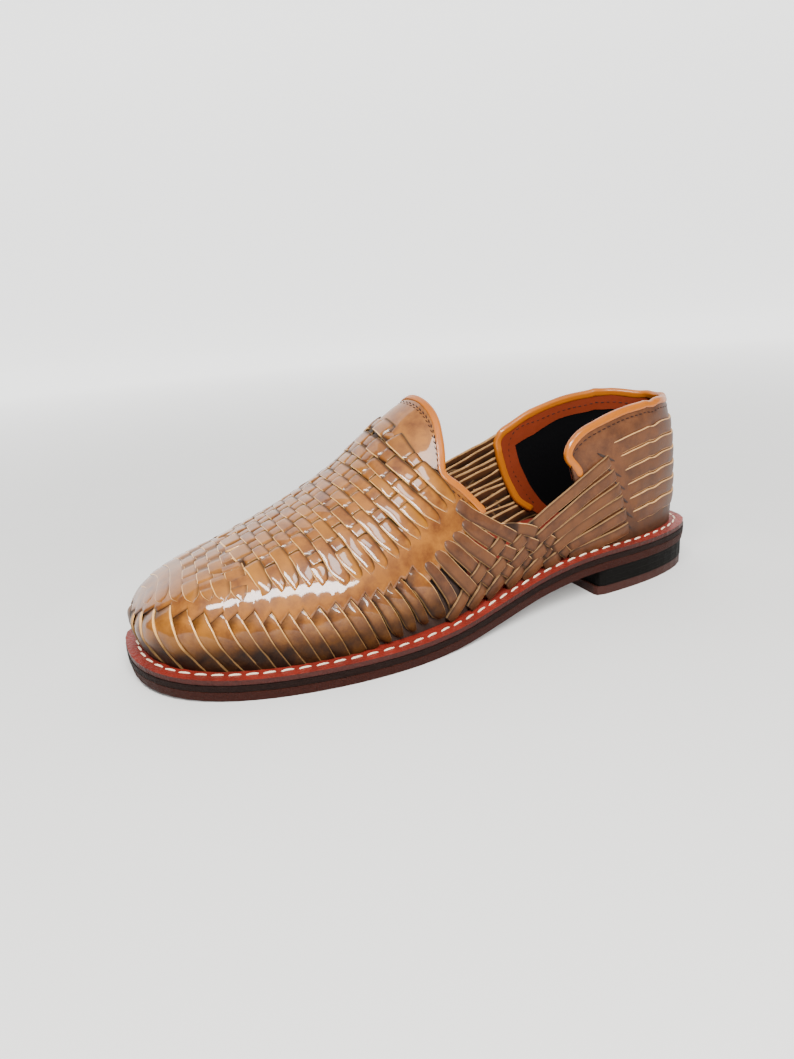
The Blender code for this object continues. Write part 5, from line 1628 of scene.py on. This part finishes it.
# a sheet of pale paper: flat under the shoe, then turned up behind it as a quarter round and a wall
def buildFloor():
    bend, reach, size = studio["bend"], studio["reach"], studio["floor"]
    turn = np.linspace(0, math.pi / 2, 24)
    away = np.r_[np.linspace(-size, reach, 40), reach + bend * np.sin(turn[1:]), np.full(6, reach + bend)]
    height = np.r_[np.zeros(40), bend - bend * np.cos(turn[1:]), bend + size * np.linspace(0.15, 1, 6)]
    across = np.linspace(-size, size, 61)
    a = math.radians(studio["azimuth"])
    back, side = np.array([-math.sin(a), math.cos(a)]), np.array([math.cos(a), math.sin(a)])
    plan = away[:, None, None] * back + across[None, :, None] * side
    points = np.concatenate([plan, np.broadcast_to(height[:, None, None], plan.shape[:2] + (1,))], -1)
    mesh = bpy.data.meshes.new("studio_floor")
    mesh.from_pydata(points.reshape(-1, 3).tolist(), [], gridQuads(len(away), 61))
    mesh.polygons.foreach_set("use_smooth", np.ones(len(mesh.polygons), bool))
    floor = bpy.data.objects.new("studio_floor", mesh)
    bpy.context.collection.objects.link(floor)
    material, tree, shader = newMaterial("studio_paper")
    place = node(tree, "TexCoord").outputs["Object"]
    distance = node(tree, "VectorMath", {0: place}, operation="LENGTH").outputs["Value"]
    paper = mixColour(tree, noise(tree, place, 3.0), (0.55, 0.55, 0.54, 1.0), (0.60, 0.60, 0.59, 1.0))
    # the paper glows as painted light: faintly under the shoe, so its shadow shows, and up to the glow far
    # off
    feed(tree, shader.inputs, {
        "Base Color": paper, "Roughness": 0.9, "Emission Color": (1.0, 1.0, 0.99, 1.0),
        "Emission Strength": mapRange(tree, distance, 0.22, 1.5, 0.16, studio["glow"])})
    floor.data.materials.append(material)


# a direction from the vamp, in degrees of azimuth and elevation
def direction(azimuth, elevation):
    a, e = math.radians(azimuth), math.radians(elevation)
    return math.sin(a) * math.cos(e), -math.cos(a) * math.cos(e), math.sin(e)


# a softbox: its long side runs between the points at one reach in two directions, and it faces the vamp
def softbox(name, first, last, reach, width, power, colour):
    ends = [Vector(direction(*way)) * reach for way in (first, last)]
    centre, chord = (ends[0] + ends[1]) / 2, ends[1] - ends[0]
    light = bpy.data.lights.new(name, "AREA")
    light.shape = "RECTANGLE"
    light.size, light.size_y = chord.length, width
    light.energy, light.color = power, colour
    lamp = bpy.data.objects.new(name, light)
    bpy.context.collection.objects.link(lamp)
    long, away = chord.normalized(), centre.normalized()
    wide = away.cross(long).normalized()
    lamp.matrix_world = Matrix((long, wide, long.cross(wide))).transposed().to_4x4()
    lamp.location = centre + Vector(studio["aim"])


# the camera: it looks along -back, turned by its roll about that line
def buildCamera():
    back = np.array(direction(studio["azimuth"], studio["elevation"]))
    r = math.radians(studio["roll"])
    right = unit(np.cross(-back, (0, 0, 1.0)))
    up = np.cross(right, -back)
    turned = np.array([math.cos(r) * right + math.sin(r) * up, -math.sin(r) * right + math.cos(r) * up, back])
    data = bpy.data.cameras.new("camera")
    data.sensor_width, data.lens, data.clip_start = 36.0, studio["lens"], 0.01
    camera = bpy.data.objects.new("camera", data)
    bpy.context.collection.objects.link(camera)
    matrix = Matrix(turned.T.tolist()).to_4x4()
    matrix.translation = Vector(studio["camera"]) * 0.001
    camera.matrix_world = matrix
    bpy.context.scene.camera = camera


print("floor, lights and camera")
buildFloor()
for name, looks in softboxes.items():
    softbox(name, *looks)
world = bpy.data.worlds.new("studio_air")
world.use_nodes = True
# dim air around the shoe, pale where it's seen past the paper
seen = node(world.node_tree, "LightPath").outputs["Is Camera Ray"]
feed(world.node_tree, world.node_tree.nodes["Background"].inputs, {
    0: (0.95, 0.97, 1.0, 1.0), 1: mapRange(world.node_tree, seen, 0.0, 1.0, 0.07, 0.8)})
bpy.context.scene.world = world
buildCamera()
